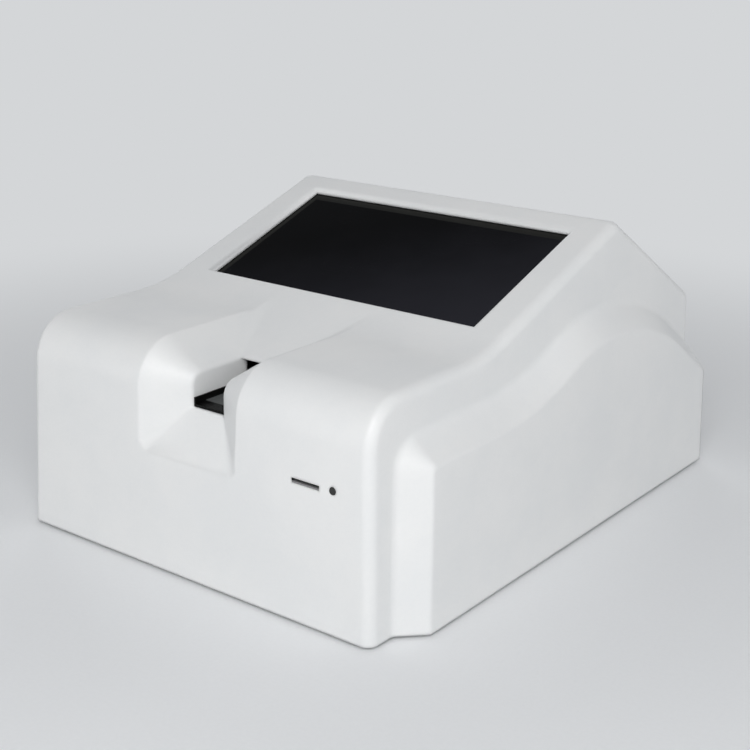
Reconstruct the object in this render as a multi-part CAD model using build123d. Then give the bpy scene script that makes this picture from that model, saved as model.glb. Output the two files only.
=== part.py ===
from build123d import *
from math import asin, cos, pi, radians, sin, sqrt, tan
import os

# Bench coagulation analyzer. Millimetres, +X to the right seen from the front, +Y to the rear, +Z up.
# The pieces are drawn with y = 0 at the foot of the front face and z = 0 at the housing's lower edge,
# and are moved at the end so that the origin lies on the table under the middle of the object.

# Housing
body_width = 242.0
body_depth = 330.0
wall = 3.0
draft = 2.25
edge_radius = 6.0
deck_height = 119.6
deck_radius = 25.0
slope_start = 99.6
slope_blend = 100.0
screen_tilt = 19.4
ridge_setback = 96.8
ridge_y = body_depth - ridge_setback
ridge_radius = 9.0
rear_tilt = 32.2

# Raised cheeks on both sides
cheek_height = 13.4
cheek_front = 17.0
cheek_lean = 2.9
cheek_shelf_drop = 22.6
cheek_shelf = deck_height - cheek_shelf_drop
cheek_crest_lead = 44.2
cheek_crest_y = ridge_y - cheek_crest_lead
cheek_crest_rise = 2.4
cheek_crest = deck_height + cheek_crest_rise
cheek_crest_share = 0.34
cheek_rise_run = 65.0
cheek_rise_y = cheek_crest_y - cheek_rise_run
cheek_rise_share = 0.48
cheek_fall_run = 74.0
cheek_fall_y = cheek_crest_y + cheek_fall_run
cheek_fall_drop = 1.6
cheek_fall = deck_height - cheek_fall_drop
cheek_fall_share = 0.6
cheek_rear_gap = 3.5
cheek_rear_y = body_depth - cheek_rear_gap
cheek_rear_drop = 45.2
cheek_rear = deck_height - cheek_rear_drop
cheek_edge_radius = 3.0
crease_radius = 6.0

# Finger notch and the channel of the card tray
channel_width = 21.6
channel_drop = 33.2
channel_floor = deck_height - channel_drop
channel_face = 19.8
channel_top_drop = 15.0
channel_top = deck_height - channel_top_drop
channel_radius = 7.5
channel_lip = 1.0
channel_reach = 4.5
mouth_y = slope_start - channel_top_drop / tan(radians(screen_tilt))
mouth_radius = 5.0
funnel_width = 68.4
funnel_radius = 6.5
funnel_bite = 0.06
funnel_drop = 57.2
funnel_floor = deck_height - funnel_drop

# Screen
screen_margin = 26.2
screen_half = body_width / 2 - screen_margin
screen_lead = 20.0
screen_low = slope_start + screen_lead
screen_top_gap = 14.0
screen_top = ridge_y - screen_top_gap
gasket_thickness = 0.5
gasket_lip = 0.4
glass_thickness = 2.0
glass_margin = 6.0
lcd_thickness = 6.0
bracket_thickness = 1.2
bracket_window = 12.0
display_board_width = 90.0
display_board_length = 56.0
display_post = 4.0

# Code card slot and indicator
slot_inset = 42.1
slot_x = body_width / 2 - slot_inset
slot_drop = 47.0
slot_height = deck_height - slot_drop
slot_width = 17.4
slot_opening = 2.7
card_gap = 1.4
card_gap_width = 16.4
socket_depth = 22.0
socket_width = 24.0
socket_height = 9.0
lamp_inset = 25.3
lamp_x = body_width / 2 - lamp_inset
lamp_rise = 0.9
lamp_height = slot_height + lamp_rise
lamp_size = 4.1
lens_stand = 0.3
code_board_width = 42.0
code_board_depth = 30.0

# Card tray and its drive
tray_gap = 0.4
tray_front = 20.4
tray_length = 115.0
tray_height = 4.85
tray_floor = 1.3
tray_wall = 1.0
tray_travel = 55.0
tongue_width = 1.5
tongue_height = 1.5
gear_module = 0.8
pinion_teeth = 20
gear_backlash = 0.2
gear_width = 5.0
rack_width = 6.0
rack_x = 7.5
rack_back = 2.0
rack_start = 68.0
rack_length = 66.0
pinion_y = 127.0
shaft_size = 3.0
bush_size = 6.0
running_fit = 0.05
hub_size = 7.0
hub_length = 4.0
motor_size = 20.0
motor_length = 20.0
motor_flange = 2.0
motor_screw_gap = 27.0

# Reader
reader_drop = 26.4
reader_level = channel_floor - reader_drop
reader_plate = 3.0
reader_half = 40.0
rail_start_gap = 0.5
rail_front = mouth_y + channel_reach + rail_start_gap
rail_end = 196.0
rail_width = 6.5
rail_gap = 0.3
rail_lip = 2.4
optics_y = 96.0
optics_length = 26.0
optics_height = 16.0
optics_bore = 5.4
optics_spread = 8.0
lens_size = 5.2
lens_depth = 10.5
heater_y = 80.0
heater_length = 36.0
heater_height = 7.0
heater_width = 14.0
heater_gap = 0.6
sensor_probe = 4.0
flag_thickness = 1.0
flag_length = 5.0
flag_drop = 5.8
flag_x = 7.0

# Base, boards and supply
base_thickness = 2.0
base_fit = 0.3
foot_size = 14.0
foot_height = 2.0
foot_side = 13.0
foot_inset_x = body_width / 2 - foot_side
foot_inset_y = 36.0
boss_size = 9.0
boss_height = 24.0
board_thickness = 1.6
board_level = 18.0
board_length = 100.0
board_margin = 5.0
board_rear_margin = 20.0
chip_size = 20.0
small_chip = 10.0
chip_height = 2.0
ribbon_width = 28.0
ribbon_length = 5.0
ribbon_height = 4.8
supply_width = 62.0
supply_length = 98.0
supply_height = 34.0
supply_side_room = 9.0
supply_rear_room = 4.0

# Rear panel and its connectors
panel_side = 33.0
panel_width = body_width - 2 * panel_side
panel_height = 50.0
panel_low = 8.0
panel_thickness = 2.0
panel_ledge = 7.0
panel_gap = 0.3
usb_x = -0.355 * panel_width
usb_width = 13.2
usb_height = 6.6
usb_depth = 14.0
usb_tongue = 1.2
network_x = -0.22 * panel_width
network_width = 16.0
network_height = 13.4
network_depth = 18.0
plug_depth = 13.0
plug_height = 6.8
latch_height = 9.4
contact_pitch = 1.02
contact_width = 0.4
contact_height = 0.6
serial_x = -0.07 * panel_width
serial_width = 25.0
serial_height = 12.0
serial_depth = 16.0
serial_nose = 19.0
serial_reach = 6.0
serial_corner = 2.5
serial_skin = 0.7
pin_pitch = 2.76
inlet_x = 0.32 * panel_width
inlet_width = 27.5
inlet_height = 20.0
inlet_depth = 24.0
inlet_cavity = 16.0
inlet_mouth = 6.0
inlet_wall = 1.8
inlet_corner = 3.0
inlet_flange = 6.0
inlet_pin = 4.0
connector_level = 31.0
switch_x = 0.125 * panel_width
switch_width = 15.0
switch_height = 22.0
switch_depth = 18.0
rocker_width = 10.4
rocker_half = 8.0
rocker_tilt = 8.0
rocker_rise = 5.2
rocker_gap = 0.3
rocker_pin = 2.0

# Screws and common clearances
screw_size = 3.0
screw_head = 5.6
screw_head_height = 1.7
small_screw = 2.0
post_size = 6.0
hole_gap = 0.2
thread_gap = 0.05
piece_gap = 0.3
overlap = 1.0
join_tolerance = 0.01
reach = 30.0


def block(x0, x1, y0, y1, z0, z1):
    """A box between two corners."""
    size = Box(x1 - x0, y1 - y0, z1 - z0)
    return Pos((x0 + x1) / 2, (y0 + y1) / 2, (z0 + z1) / 2) * size


def rod(radius, z0, z1):
    """An upright round bar between two heights."""
    return Pos(0, 0, (z0 + z1) / 2) * Cylinder(radius, z1 - z0)


def copies(shape, places):
    """The shape at each place, kept as separate solids."""
    return Compound(children=[place * shape for place in places])


def pan_screw(size, length):
    """A pan-head screw seated at the origin with its shank running down."""
    scale = size / screw_size
    head = rod(screw_head * scale / 2, 0, screw_head_height * scale)
    groove = block(-screw_head * scale / 3, screw_head * scale / 3, -size / 8, size / 8, size / 4, size)
    return head + rod(size / 2, -length, 0) - groove - Rot(0, 0, 90) * groove


def sunk_screw(size, length):
    """A countersunk screw, its flat head level with the origin."""
    head = screw_head * size / screw_size
    rise = screw_head_height * size / screw_size
    groove = block(-head / 3, head / 3, -size / 8, size / 8, -size / 4, 1)
    screw = Pos(0, 0, -rise / 2) * Cone(size / 2, head / 2, rise) + rod(size / 2, -length, 0)
    return screw - groove - Rot(0, 0, 90) * groove


def sunk_hole(size, depth):
    """The clearance cut for a countersunk screw."""
    head = screw_head * size / screw_size
    rise = screw_head_height * size / screw_size
    cone = Pos(0, 0, -rise / 2) * Cone(size / 2 + hole_gap, head / 2 + hole_gap, rise)
    return cone + rod(size / 2 + hole_gap, -depth, 0)


def clear_hole(size, depth):
    """A clearance hole for a shank, cut both ways from the origin."""
    return rod(size / 2 + hole_gap, -depth, depth)


def pilot_hole(size, depth):
    """The hole that a screw's thread bites into, running down from the origin."""
    return rod(size / 2 + thread_gap, -depth, 0)


# Straight lines of the housing's side view
front_slant = tan(radians(draft))
slope = tan(radians(screen_tilt))
rear_slope = tan(radians(rear_tilt))


def slope_height(y):
    """Height of the sloping panel's plane at y."""
    return deck_height + slope * (y - slope_start)


ridge_z = slope_height(ridge_y)
rear_top = ridge_z - rear_slope * (body_depth - ridge_y)

# Local planes: the front wall, the right side wall, and the sloping panel at the middle of the screen
up_front = (0, -cos(radians(draft)), sin(radians(draft)))
front_plane = Plane(origin=(0, 0, 0), x_dir=(1, 0, 0), z_dir=up_front)
up_side = (cos(radians(draft)), 0, sin(radians(draft)))
side_plane = Plane(origin=(body_width / 2, 0, 0), x_dir=(0, 1, 0), z_dir=up_side)
screen_length = (screen_top - screen_low) / cos(radians(screen_tilt))
screen_y = (screen_low + screen_top) / 2
up_screen = (0, -sin(radians(screen_tilt)), cos(radians(screen_tilt)))
screen_plane = Plane(origin=(0, screen_y, slope_height(screen_y)), x_dir=(1, 0, 0), z_dir=up_screen)


# Housing
def side_view():
    """Outline of the main body seen from the side, drawn on below the lower edge."""
    corners = [
        (-front_slant * reach, -reach),
        (front_slant * deck_height, deck_height),
        (slope_start, deck_height),
        (ridge_y, ridge_z),
        (body_depth, rear_top),
        (body_depth, -reach),
    ]
    radii = [0, deck_radius, slope_blend, ridge_radius, ridge_radius, 0]
    return make_face(FilletPolyline(*corners, radius=radii, close=True))


def body_blank(inset):
    """The main body without its cheeks, drawn in by the inset."""
    face = side_view()
    if inset:
        face = offset(face, amount=-inset, kind=Kind.INTERSECTION)
    length = extrude(Plane.YZ * face, amount=body_width, both=True)
    top = ridge_z + reach
    low = body_width / 2 - inset + front_slant * reach
    high = body_width / 2 - inset - front_slant * top
    ends = make_face(Polyline((-low, -reach), (low, -reach), (high, top), (-high, top), close=True))
    sides = extrude(Plane.XZ * ends, amount=2 * body_depth, both=True)
    blank = length & sides
    if inset:
        return blank
    rims = [edge for edge in blank.edges() if abs(edge.center().X) > body_width / 4]
    return fillet([edge for edge in rims if edge.center().Z > -reach / 2], edge_radius)


def arc_radius(before, corner, after, share):
    """Radius of the arc at a corner that takes a share of the run before it."""
    run = Vector(*corner) - Vector(*before)
    turn = run.get_angle(Vector(*after) - Vector(*corner))
    return share * run.length / tan(radians(turn / 2))


def cheek_outline():
    """Outline of the raised cheek at its foot, in the plane of the side wall."""
    lean = tan(radians(cheek_lean))
    drop = (cheek_fall - cheek_rear) / (cheek_rear_y - cheek_fall_y)
    beyond = cheek_rear_y + reach
    front = (cheek_front + lean * cheek_shelf, cheek_shelf)
    rise = (cheek_rise_y, cheek_shelf)
    crest = (cheek_crest_y, cheek_crest)
    fall = (cheek_fall_y, cheek_fall)
    rear = (beyond, cheek_rear - drop * reach)
    corners = [(cheek_front - lean * reach, -reach), (beyond, -reach), rear, fall, crest, rise, front]
    radii = [
        0,
        0,
        0,
        arc_radius(crest, fall, rear, cheek_fall_share),
        arc_radius(fall, crest, rise, cheek_crest_share),
        arc_radius(crest, rise, front, cheek_rise_share),
        cheek_height + wall,
    ]
    return make_face(FilletPolyline(*corners, radius=radii, close=True))


def cheek_blank(inset):
    """The raised cheek on the +X side, rooted in the body and drawn in by the inset."""
    face = cheek_outline()
    if inset:
        face = offset(face, amount=-inset * sqrt(2), kind=Kind.INTERSECTION)
    panel = extrude(side_plane * face, amount=cheek_height - inset, taper=45)
    root = extrude(side_plane * face, amount=-wall - edge_radius)
    low = -reach / 2
    cheek = (panel + root) & block(0, body_width, -reach, cheek_rear_y - inset, low, ridge_z)
    if inset:
        return cheek
    flat = cheek.faces().sort_by(Axis(side_plane.origin, side_plane.z_dir))[-1]
    middles = [(edge, edge.center()) for edge in flat.edges()]
    rim = [edge for edge, spot in middles if spot.Z > low + overlap and spot.Y < cheek_rear_y - overlap]
    return fillet(rim, cheek_edge_radius)


def soft_crease(shell):
    """The shell with the crease between each cheek and its side wall rounded."""
    outline = (side_plane * cheek_outline()).face().outer_wire()
    crease = []
    for edge in shell.edges():
        middle = edge @ 0.5
        spot = Vector(abs(middle.X), middle.Y, middle.Z)
        if middle.Y < body_depth - edge_radius and outline.distance_to(spot) < join_tolerance:
            crease.append(edge)
    return fillet(crease, crease_radius)


# Slope of the notch's lower facet
floor_slope = (channel_floor - funnel_floor) / (channel_face - front_slant * funnel_floor)


def notch_station(share, grow):
    """Side view of the notch, from its inner edge at share 0 to its outer edge at share 1."""
    def blend(inner, outer):
        return inner + share * (outer - inner)

    low = (blend(channel_face, front_slant * funnel_floor), blend(channel_floor, funnel_floor))
    top = blend(channel_top, deck_height)
    brow = (blend(channel_face, front_slant * deck_height), top)
    ramp = (blend(mouth_y, slope_start), top)
    far = slope_start + reach + funnel_width / 2
    ahead = low[0] + reach
    corners = [
        (low[0] - ahead, low[1] - ahead * floor_slope),
        low,
        brow,
        ramp,
        (far, top + slope * (far - ramp[0])),
        (far, ridge_z + 2 * reach),
        (low[0] - ahead, ridge_z + 2 * reach),
    ]
    radii = [0, 0, blend(channel_radius, deck_radius), blend(mouth_radius, slope_blend), 0, 0, 0]
    face = make_face(FilletPolyline(*corners, radius=radii, close=True))
    if grow:
        face = offset(face, amount=grow, kind=Kind.INTERSECTION)
    return Plane.YZ * face


def notch_blank(grow):
    """What the finger notch takes out of the housing, or that grown by a wall."""
    inner = channel_width / 2 + grow
    outer = funnel_width / 2 + grow
    past = 1 + overlap / (outer - inner)
    middle = extrude(notch_station(0, grow), amount=inner, both=True)
    stations = [(inner, 0), (outer + overlap, past)]
    flank = loft([Pos(x, 0, 0) * notch_station(share, grow) for x, share in stations], ruled=True)
    end = slope_start + slope_blend * tan(radians(screen_tilt / 2)) - overlap
    room = block(-body_width, body_width, -reach, end + grow, 0, 2 * ridge_z)
    shape = (middle + flank + mirror(flank, Plane.YZ)) & room
    channel = block(-inner, inner, -reach / 2, mouth_y, channel_floor - grow, channel_top + overlap)
    tunnel = block(-inner, inner, mouth_y - overlap, mouth_y + channel_reach,
                   channel_floor - grow, channel_top - channel_lip)
    front = block(-inner, inner, -reach, channel_face, 0, channel_floor)
    return shape + (channel + tunnel - front)


def funnel_corner():
    """Cone that rounds the notch's lower right corner and narrows to the channel's corner."""
    tip = front_plane.to_local_coords(Vector(channel_width / 2, channel_face, channel_floor))
    growth = 1 + overlap / channel_face
    side = tip.X + growth * (funnel_width / 2 - tip.X)
    low = tip.Y + growth * (funnel_floor / cos(radians(draft)) - tip.Y)
    size = growth * funnel_radius + overlap
    centre = growth * (funnel_radius - funnel_bite)
    square = Pos(side + overlap - size / 2, low - overlap + size / 2) * Rectangle(size, size)
    corner = square - Pos(side - centre, low + centre) * Circle(growth * funnel_radius)
    ahead = front_plane * Pos(0, 0, tip.Z * (1 - growth))
    return loft([ahead * corner, Vertex(channel_width / 2, channel_face, channel_floor)], ruled=True)


def base_boss_places():
    """Where screws hold the base plate to the housing."""
    side = body_width / 2 + cheek_height - wall - boss_size / 2 - front_slant * boss_height + overlap
    front = wall + boss_size / 2 + front_slant * boss_height - overlap
    rear = body_depth - wall - boss_size / 2 + overlap
    corner = body_width / 2 - wall - 2 * boss_size
    middle = body_depth / 2
    spots = [(corner, front), (side, middle), (corner, rear)]
    return [Pos(sign * x, y, 0) for x, y in spots for sign in (-1, 1)]


# Depths below the sloping panel's outer face
gasket_depth = wall
glass_depth = gasket_depth + gasket_thickness
lcd_depth = glass_depth + glass_thickness
bracket_depth = lcd_depth + lcd_thickness
aperture_x = screen_half - wall
aperture_y = screen_length / 2 - wall
glass_x = aperture_x + glass_margin
glass_y = aperture_y + glass_margin


def bracket_boss_places():
    """Where screws hold the screen bracket, in the plane of the sloping panel."""
    side = glass_x + boss_size / 2
    spots = [(sx * side, sy * glass_y * 3 / 4) for sx in (-1, 1) for sy in (-1, 1)]
    return [screen_plane * Pos(x, y, -bracket_depth) for x, y in spots]


def screen_aperture():
    """The recess with its 45 degree walls, cut right through the sloping panel."""
    levels = [(overlap, overlap), (-wall - overlap, -wall - overlap)]
    rings = [
        screen_plane * Pos(0, 0, z) * Rectangle(2 * (screen_half + d), screen_length + 2 * d)
        for z, d in levels
    ]
    return loft(rings, ruled=True)


# Heights along the front wall for the code card's board
code_board_top = slot_height - socket_height / 2
shelf_places = [slot_x - socket_width / 2 + 1, lamp_x + boss_size / 2 - 1]


def code_shelves():
    """Two shelves on the front wall that carry the code card's board."""
    shelf_top = code_board_top - board_thickness
    shelves = [
        block(x - boss_size / 3, x + boss_size / 3, shelf_top - boss_size, shelf_top,
              -wall - code_board_depth, -wall + overlap)
        for x in shelf_places
    ]
    return [front_plane * shelf for shelf in shelves]


def code_screw_places():
    """Seats of the code board's screws, standing on the board."""
    upright = Rot(-90, 0, 0)
    depth = -wall - code_board_depth + boss_size / 2
    return [front_plane * Pos(x, code_board_top, depth) * upright for x in shelf_places]


# Rear panel levels
panel_outer = body_depth - panel_gap
panel_inner = panel_outer - panel_thickness
panel_high = panel_low + panel_height


def panel_screw_places():
    """Seats of the rear panel's screws, their heads facing the rear."""
    x = panel_width / 2 - panel_ledge / 2 - overlap / 2
    spots = [(sign * x, z) for sign in (-1, 1) for z in (panel_low + panel_ledge, panel_high - panel_ledge)]
    return [Pos(x, panel_outer, z) * Rot(-90, 0, 0) for x, z in spots]


def make_housing():
    """The white cover: one shell with its notch, recess, slots and screw bosses."""
    cheek = cheek_blank(0)
    outer = soft_crease(body_blank(0) + cheek + mirror(cheek, Plane.YZ))
    outer = outer & block(-body_width, body_width, -reach, body_depth + reach, 0, 2 * ridge_z)
    hollow = cheek_blank(wall)
    cavity = body_blank(wall) + hollow + mirror(hollow, Plane.YZ) - notch_blank(wall)
    corner = funnel_corner()
    notch = notch_blank(0) - corner - mirror(corner, Plane.YZ)
    shell = outer - cavity - notch - screen_aperture()
    boss = rod(boss_size / 2, base_thickness, boss_height)
    shell = shell + [place * boss for place in base_boss_places()]
    post = rod(boss_size / 2 - overlap, 0, bracket_depth - wall + overlap)
    shell = shell + [place * post for place in bracket_boss_places()]
    shell = shell + code_shelves()
    anchor = rod(boss_size / 2, -boss_size, -panel_thickness - hole_gap)
    shell = shell + [place * anchor for place in panel_screw_places()]
    half = panel_width / 2 + panel_gap
    pocket = block(-half, half, panel_inner - panel_gap, body_depth + reach,
                   panel_low - panel_gap, panel_high + panel_gap)
    inner = panel_width / 2 - panel_ledge
    opening = block(-inner, inner, panel_inner - reach, body_depth,
                    panel_low + panel_ledge, panel_high - panel_ledge)
    shell = shell - pocket - opening
    slot = front_plane * block(slot_x - slot_width / 2, slot_x + slot_width / 2,
                               slot_height - slot_opening / 2, slot_height + slot_opening / 2,
                               -2 * wall, overlap)
    lamp = front_plane * Pos(lamp_x, lamp_height, 0) * rod(lamp_size / 2, -2 * wall, overlap)
    shell = shell - slot - lamp
    thread = screw_size / 2 + thread_gap
    bore = rod(thread, 0, boss_height - 2 * overlap)
    shell = shell - [place * bore for place in base_boss_places()]
    bore = rod(thread, -overlap, bracket_depth - wall - overlap)
    shell = shell - [place * bore for place in bracket_boss_places()]
    shell = shell - [place * pilot_hole(screw_size, boss_size - overlap) for place in panel_screw_places()]
    return shell - [place * pilot_hole(small_screw, boss_size - overlap) for place in code_screw_places()]


# Plans of the main board and the power supply
board_left = usb_x - usb_width / 2 - board_margin
board_right = serial_x + serial_width / 2 + 2 * board_margin
board_rear = panel_inner - overlap
board_front = board_rear - board_length
supply_left = body_width / 2 - wall - supply_side_room - supply_width
supply_front = panel_outer - inlet_depth - supply_rear_room - supply_length


# Base
def foot_places():
    """Centres of the four feet."""
    return [Pos(sx * foot_inset_x, y, 0) for sx in (-1, 1) for y in (foot_inset_y, body_depth - foot_inset_y)]


def reader_post_places():
    """Centres of the posts that carry the reader plate."""
    x = reader_half - post_size
    ys = (rail_front + 2 * post_size, rail_end - 2 * post_size)
    return [Pos(sx * x, y, 0) for sx in (-1, 1) for y in ys]


def board_post_places():
    """Centres of the posts that carry the main board."""
    xs = (board_left + post_size, board_right - post_size)
    ys = (board_front + post_size, board_rear - board_rear_margin)
    return [Pos(x, y, 0) for x in xs for y in ys]


def supply_screw_places():
    """Centres of the screws that hold the power supply."""
    xs = (supply_left + 2 * post_size, supply_left + supply_width - 2 * post_size)
    ys = (supply_front + 2 * post_size, supply_front + supply_length - 2 * post_size)
    return [Pos(x, y, 0) for x in xs for y in ys]


def under_screw_places():
    """Every countersunk screw in the base plate, heads facing down."""
    return base_boss_places() + reader_post_places() + board_post_places() + supply_screw_places()


def make_base_plate():
    """The steel plate that closes the housing from below."""
    inset = wall + base_fit
    hollow = cheek_blank(inset)
    plan = body_blank(inset) + hollow + mirror(hollow, Plane.YZ)
    plate = plan & block(-body_width, body_width, -reach, body_depth + reach, 0, base_thickness)
    hole = Rot(180, 0, 0) * sunk_hole(screw_size, 2 * base_thickness)
    return plate - [place * hole for place in under_screw_places()]


def make_feet():
    """Four round rubber feet, rounded at their lower rim."""
    foot = rod(foot_size / 2, -foot_height, 0)
    foot = fillet(foot.edges().sort_by(Axis.Z)[0], foot_height / 4)
    return copies(foot, foot_places())


def make_under_screws(places, length):
    """Countersunk screws driven up through the base plate."""
    return copies(Rot(180, 0, 0) * sunk_screw(screw_size, length), places)


# Screen
def make_gasket():
    """Foam frame between the housing and the glass."""
    inside = Rectangle(2 * (aperture_x + gasket_lip), 2 * (aperture_y + gasket_lip))
    ring = Rectangle(2 * glass_x, 2 * glass_y) - inside
    return screen_plane * Pos(0, 0, -glass_depth) * extrude(ring, amount=gasket_thickness)


def make_glass():
    """The black touch glass behind the recess."""
    pane = extrude(RectangleRounded(2 * glass_x, 2 * glass_y, glass_margin / 2), amount=glass_thickness)
    return screen_plane * Pos(0, 0, -lcd_depth) * pane


def make_lcd():
    """The display module on the back of the glass."""
    can = extrude(RectangleRounded(2 * aperture_x, 2 * aperture_y, piece_gap * 4), amount=lcd_thickness)
    return screen_plane * Pos(0, 0, -bracket_depth) * can


def bracket_half():
    """Half width and half height of the screen bracket."""
    return glass_x + boss_size, glass_y + bracket_thickness


def display_post_places():
    """Where the display board stands off the bracket, on the bracket's rear face."""
    x = display_board_width / 2 - post_size
    y = display_board_length / 2 - post_size / 2
    depth = -bracket_depth - bracket_thickness
    spots = [(sx * x, sy * y) for sx in (-1, 1) for sy in (-1, 1)]
    return [screen_plane * Pos(sx, sy, depth) for sx, sy in spots]


def make_bracket():
    """Sheet frame that clamps the display, with posts for its board."""
    half_x, half_y = bracket_half()
    sheet = RectangleRounded(2 * half_x, 2 * half_y, boss_size / 3)
    window = Pos(aperture_x / 2 + bracket_window / 2, 0) * RectangleRounded(
        aperture_x - 2 * bracket_window, 2 * aperture_y - 2 * bracket_window, boss_size / 3)
    sheet = sheet - window - mirror(window, Plane.YZ)
    level = -bracket_depth - bracket_thickness
    plate = screen_plane * Pos(0, 0, level) * extrude(sheet, amount=bracket_thickness)
    post = rod(post_size / 2, -display_post, overlap / 4)
    bridge = extrude(Rectangle(display_board_width, post_size), amount=bracket_thickness)
    y = display_board_length / 2 - post_size / 2
    plate = plate + [screen_plane * Pos(0, sy * y, level) * bridge for sy in (-1, 1)]
    plate = plate + [place * post for place in display_post_places()]
    plate = plate - [place * clear_hole(screw_size, reach) for place in bracket_boss_places()]
    return plate - [place * rod(small_screw / 2 + thread_gap, -display_post - overlap, -overlap / 2)
                    for place in display_post_places()]


def make_lcd_screws():
    """Screws that hold the bracket to the housing's bosses."""
    screw = Pos(0, 0, bracket_thickness) * pan_screw(screw_size, bracket_thickness + 2 * wall)
    return copies(Rot(180, 0, 0) * screw, bracket_boss_places())


def lump(width, length, height):
    """A chip or a ribbon socket under a board whose lower face is at the origin."""
    return block(-width / 2, width / 2, -length / 2, length / 2, -height, 0)


def make_display_board():
    """Driver board on the bracket's posts, with its chips and ribbon socket."""
    board = extrude(Rectangle(display_board_width, display_board_length), amount=board_thickness)
    side = display_board_width / 3
    far = display_board_length / 3
    board = board + lump(chip_size, chip_size, chip_height)
    board = board + Pos(0, far, 0) * lump(ribbon_width, ribbon_length, ribbon_height)
    board = board + [Pos(x, 0, 0) * lump(small_chip, small_chip, chip_height) for x in (-side, side)]
    level = Pos(0, 0, -bracket_depth - bracket_thickness - display_post - board_thickness)
    board = screen_plane * level * board
    return board - [place * clear_hole(small_screw, reach) for place in display_post_places()]


def make_display_screws():
    """Small screws through the display board into the bracket's posts."""
    seat = Pos(0, 0, display_post + board_thickness)
    screw = seat * pan_screw(small_screw, board_thickness + display_post - overlap)
    return copies(Rot(180, 0, 0) * screw, display_post_places())


# Code card reader
def make_code_board():
    """Small board behind the front wall, on two shelves."""
    left = slot_x - socket_width / 2 - 2
    board = block(left, left + code_board_width, code_board_top - board_thickness, code_board_top,
                  -wall - code_board_depth, -wall - piece_gap)
    board = front_plane * board
    return board - [place * clear_hole(small_screw, reach / 3) for place in code_screw_places()]


def make_code_socket():
    """Card socket: a nose in the slot with a narrow gap above a lip."""
    bottom = code_board_top
    body = block(slot_x - socket_width / 2, slot_x + socket_width / 2, bottom, bottom + socket_height,
                 -wall - piece_gap - socket_depth, -wall - piece_gap)
    half = slot_width / 2 - piece_gap / 2
    lip = slot_height - slot_opening / 2 + piece_gap / 2
    crown = slot_height + slot_opening / 2 - piece_gap / 2
    nose = block(slot_x - half, slot_x + half, lip, crown, -wall - overlap, -piece_gap)
    gap = block(slot_x - card_gap_width / 2, slot_x + card_gap_width / 2, crown - piece_gap - card_gap,
                crown - piece_gap, -wall - socket_depth + overlap, overlap)
    return front_plane * (body + nose - gap)


def make_code_screws():
    """Two small screws that hold the code board to its shelves."""
    return copies(pan_screw(small_screw, boss_size - 2 * overlap), code_screw_places())


def make_indicator_lens():
    """Round lens in the front wall, with a flange behind it."""
    radius = lamp_size / 2 - piece_gap / 3
    stem = rod(radius, -wall - overlap, lens_stand)
    stem = fillet(stem.edges().sort_by(Axis.Z)[-1], lens_stand)
    flange = rod(lamp_size / 2 + overlap, -wall - overlap, -wall)
    return front_plane * Pos(lamp_x, lamp_height, 0) * (stem + flange)


def make_indicator_lamp():
    """Lamp on the code board, facing the back of the lens."""
    rise = lamp_height - code_board_top
    back = -wall - 3 * overlap
    holder = block(-lamp_size / 2, lamp_size / 2, -rise, lamp_size / 2, back - lamp_size, back)
    dome = rod(lamp_size / 3, back - overlap, -wall - overlap - piece_gap)
    dome = fillet(dome.edges().sort_by(Axis.Z)[-1], lamp_size / 6)
    return front_plane * Pos(lamp_x, lamp_height, 0) * (holder + dome)


# Card tray and its drive
tray_bottom = channel_floor + tray_gap
tray_half = channel_width / 2 - tray_gap
tray_end = tray_front + tray_length
tongue_start = rail_front + 2 * overlap
tongue_low = tray_bottom + tongue_height
pitch_radius = gear_module * pinion_teeth / 2
pitch_line = tray_bottom - rack_back - gear_module
pinion_z = pitch_line - pitch_radius
pressure_angle = radians(20)
root_gap = 0.25 * gear_module
half_tooth = (pi * gear_module - gear_backlash) / 4


def make_tray():
    """Open-fronted card carrier with side tongues and a flag for the position sensor."""
    body = block(-tray_half, tray_half, tray_front, tray_end, tray_bottom, tray_bottom + tray_height)
    inside = tray_half - tray_wall
    room = block(-inside, inside, tray_front - overlap, tray_end - tray_wall,
                 tray_bottom + tray_floor, tray_bottom + 2 * tray_height)
    side = tray_half + tongue_width
    tongues = block(-side, side, tongue_start, tray_end, tongue_low, tongue_low + tongue_height)
    flag = block(-flag_x - flag_thickness / 2, -flag_x + flag_thickness / 2, tray_end - flag_length, tray_end,
                 tray_bottom - flag_drop, tray_bottom + overlap)
    window = Pos(0, optics_y + optics_length / 2 - tray_travel, tray_bottom)
    well = window * Box(tray_half, tray_half, 4 * tray_floor)
    tray = body + tongues + flag - room - well
    return tray - [place * sunk_hole(small_screw, 2 * tray_floor) for place in rack_screw_places()]


def rack_screw_places():
    """Seats of the rack's screws on the tray's floor."""
    ys = (rack_start + 2 * post_size, rack_start + rack_length - 2 * post_size)
    return [Pos(rack_x, y, tray_bottom + tray_floor) for y in ys]


def make_rack():
    """Toothed rack under the tray, a gap of its teeth centred over the pinion."""
    pitch = pi * gear_module
    tip = pitch_line - gear_module
    root = pitch_line + gear_module + root_gap
    slant = tan(pressure_angle)
    wide = half_tooth + (root - pitch_line) * slant
    narrow = half_tooth - (pitch_line - tip) * slant
    tooth = make_face(Polyline((-wide, root), (wide, root), (narrow, tip), (-narrow, tip), close=True))
    first = int((pinion_y - rack_start) / pitch - 1)
    last = int((rack_start + rack_length - pinion_y) / pitch - 1)
    middles = [pinion_y + (count + 0.5) * pitch for count in range(-first, last)]
    face = make_face(Polyline((rack_start, root), (rack_start + rack_length, root),
                              (rack_start + rack_length, tray_bottom), (rack_start, tray_bottom), close=True))
    face = face + [Pos(y, 0) * tooth for y in middles]
    left = rack_x - rack_width / 2
    rack = Pos(left, 0, 0) * extrude(Plane.YZ * face, amount=rack_width)
    return rack - [place * pilot_hole(small_screw, 2 * tray_height) for place in rack_screw_places()]


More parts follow.
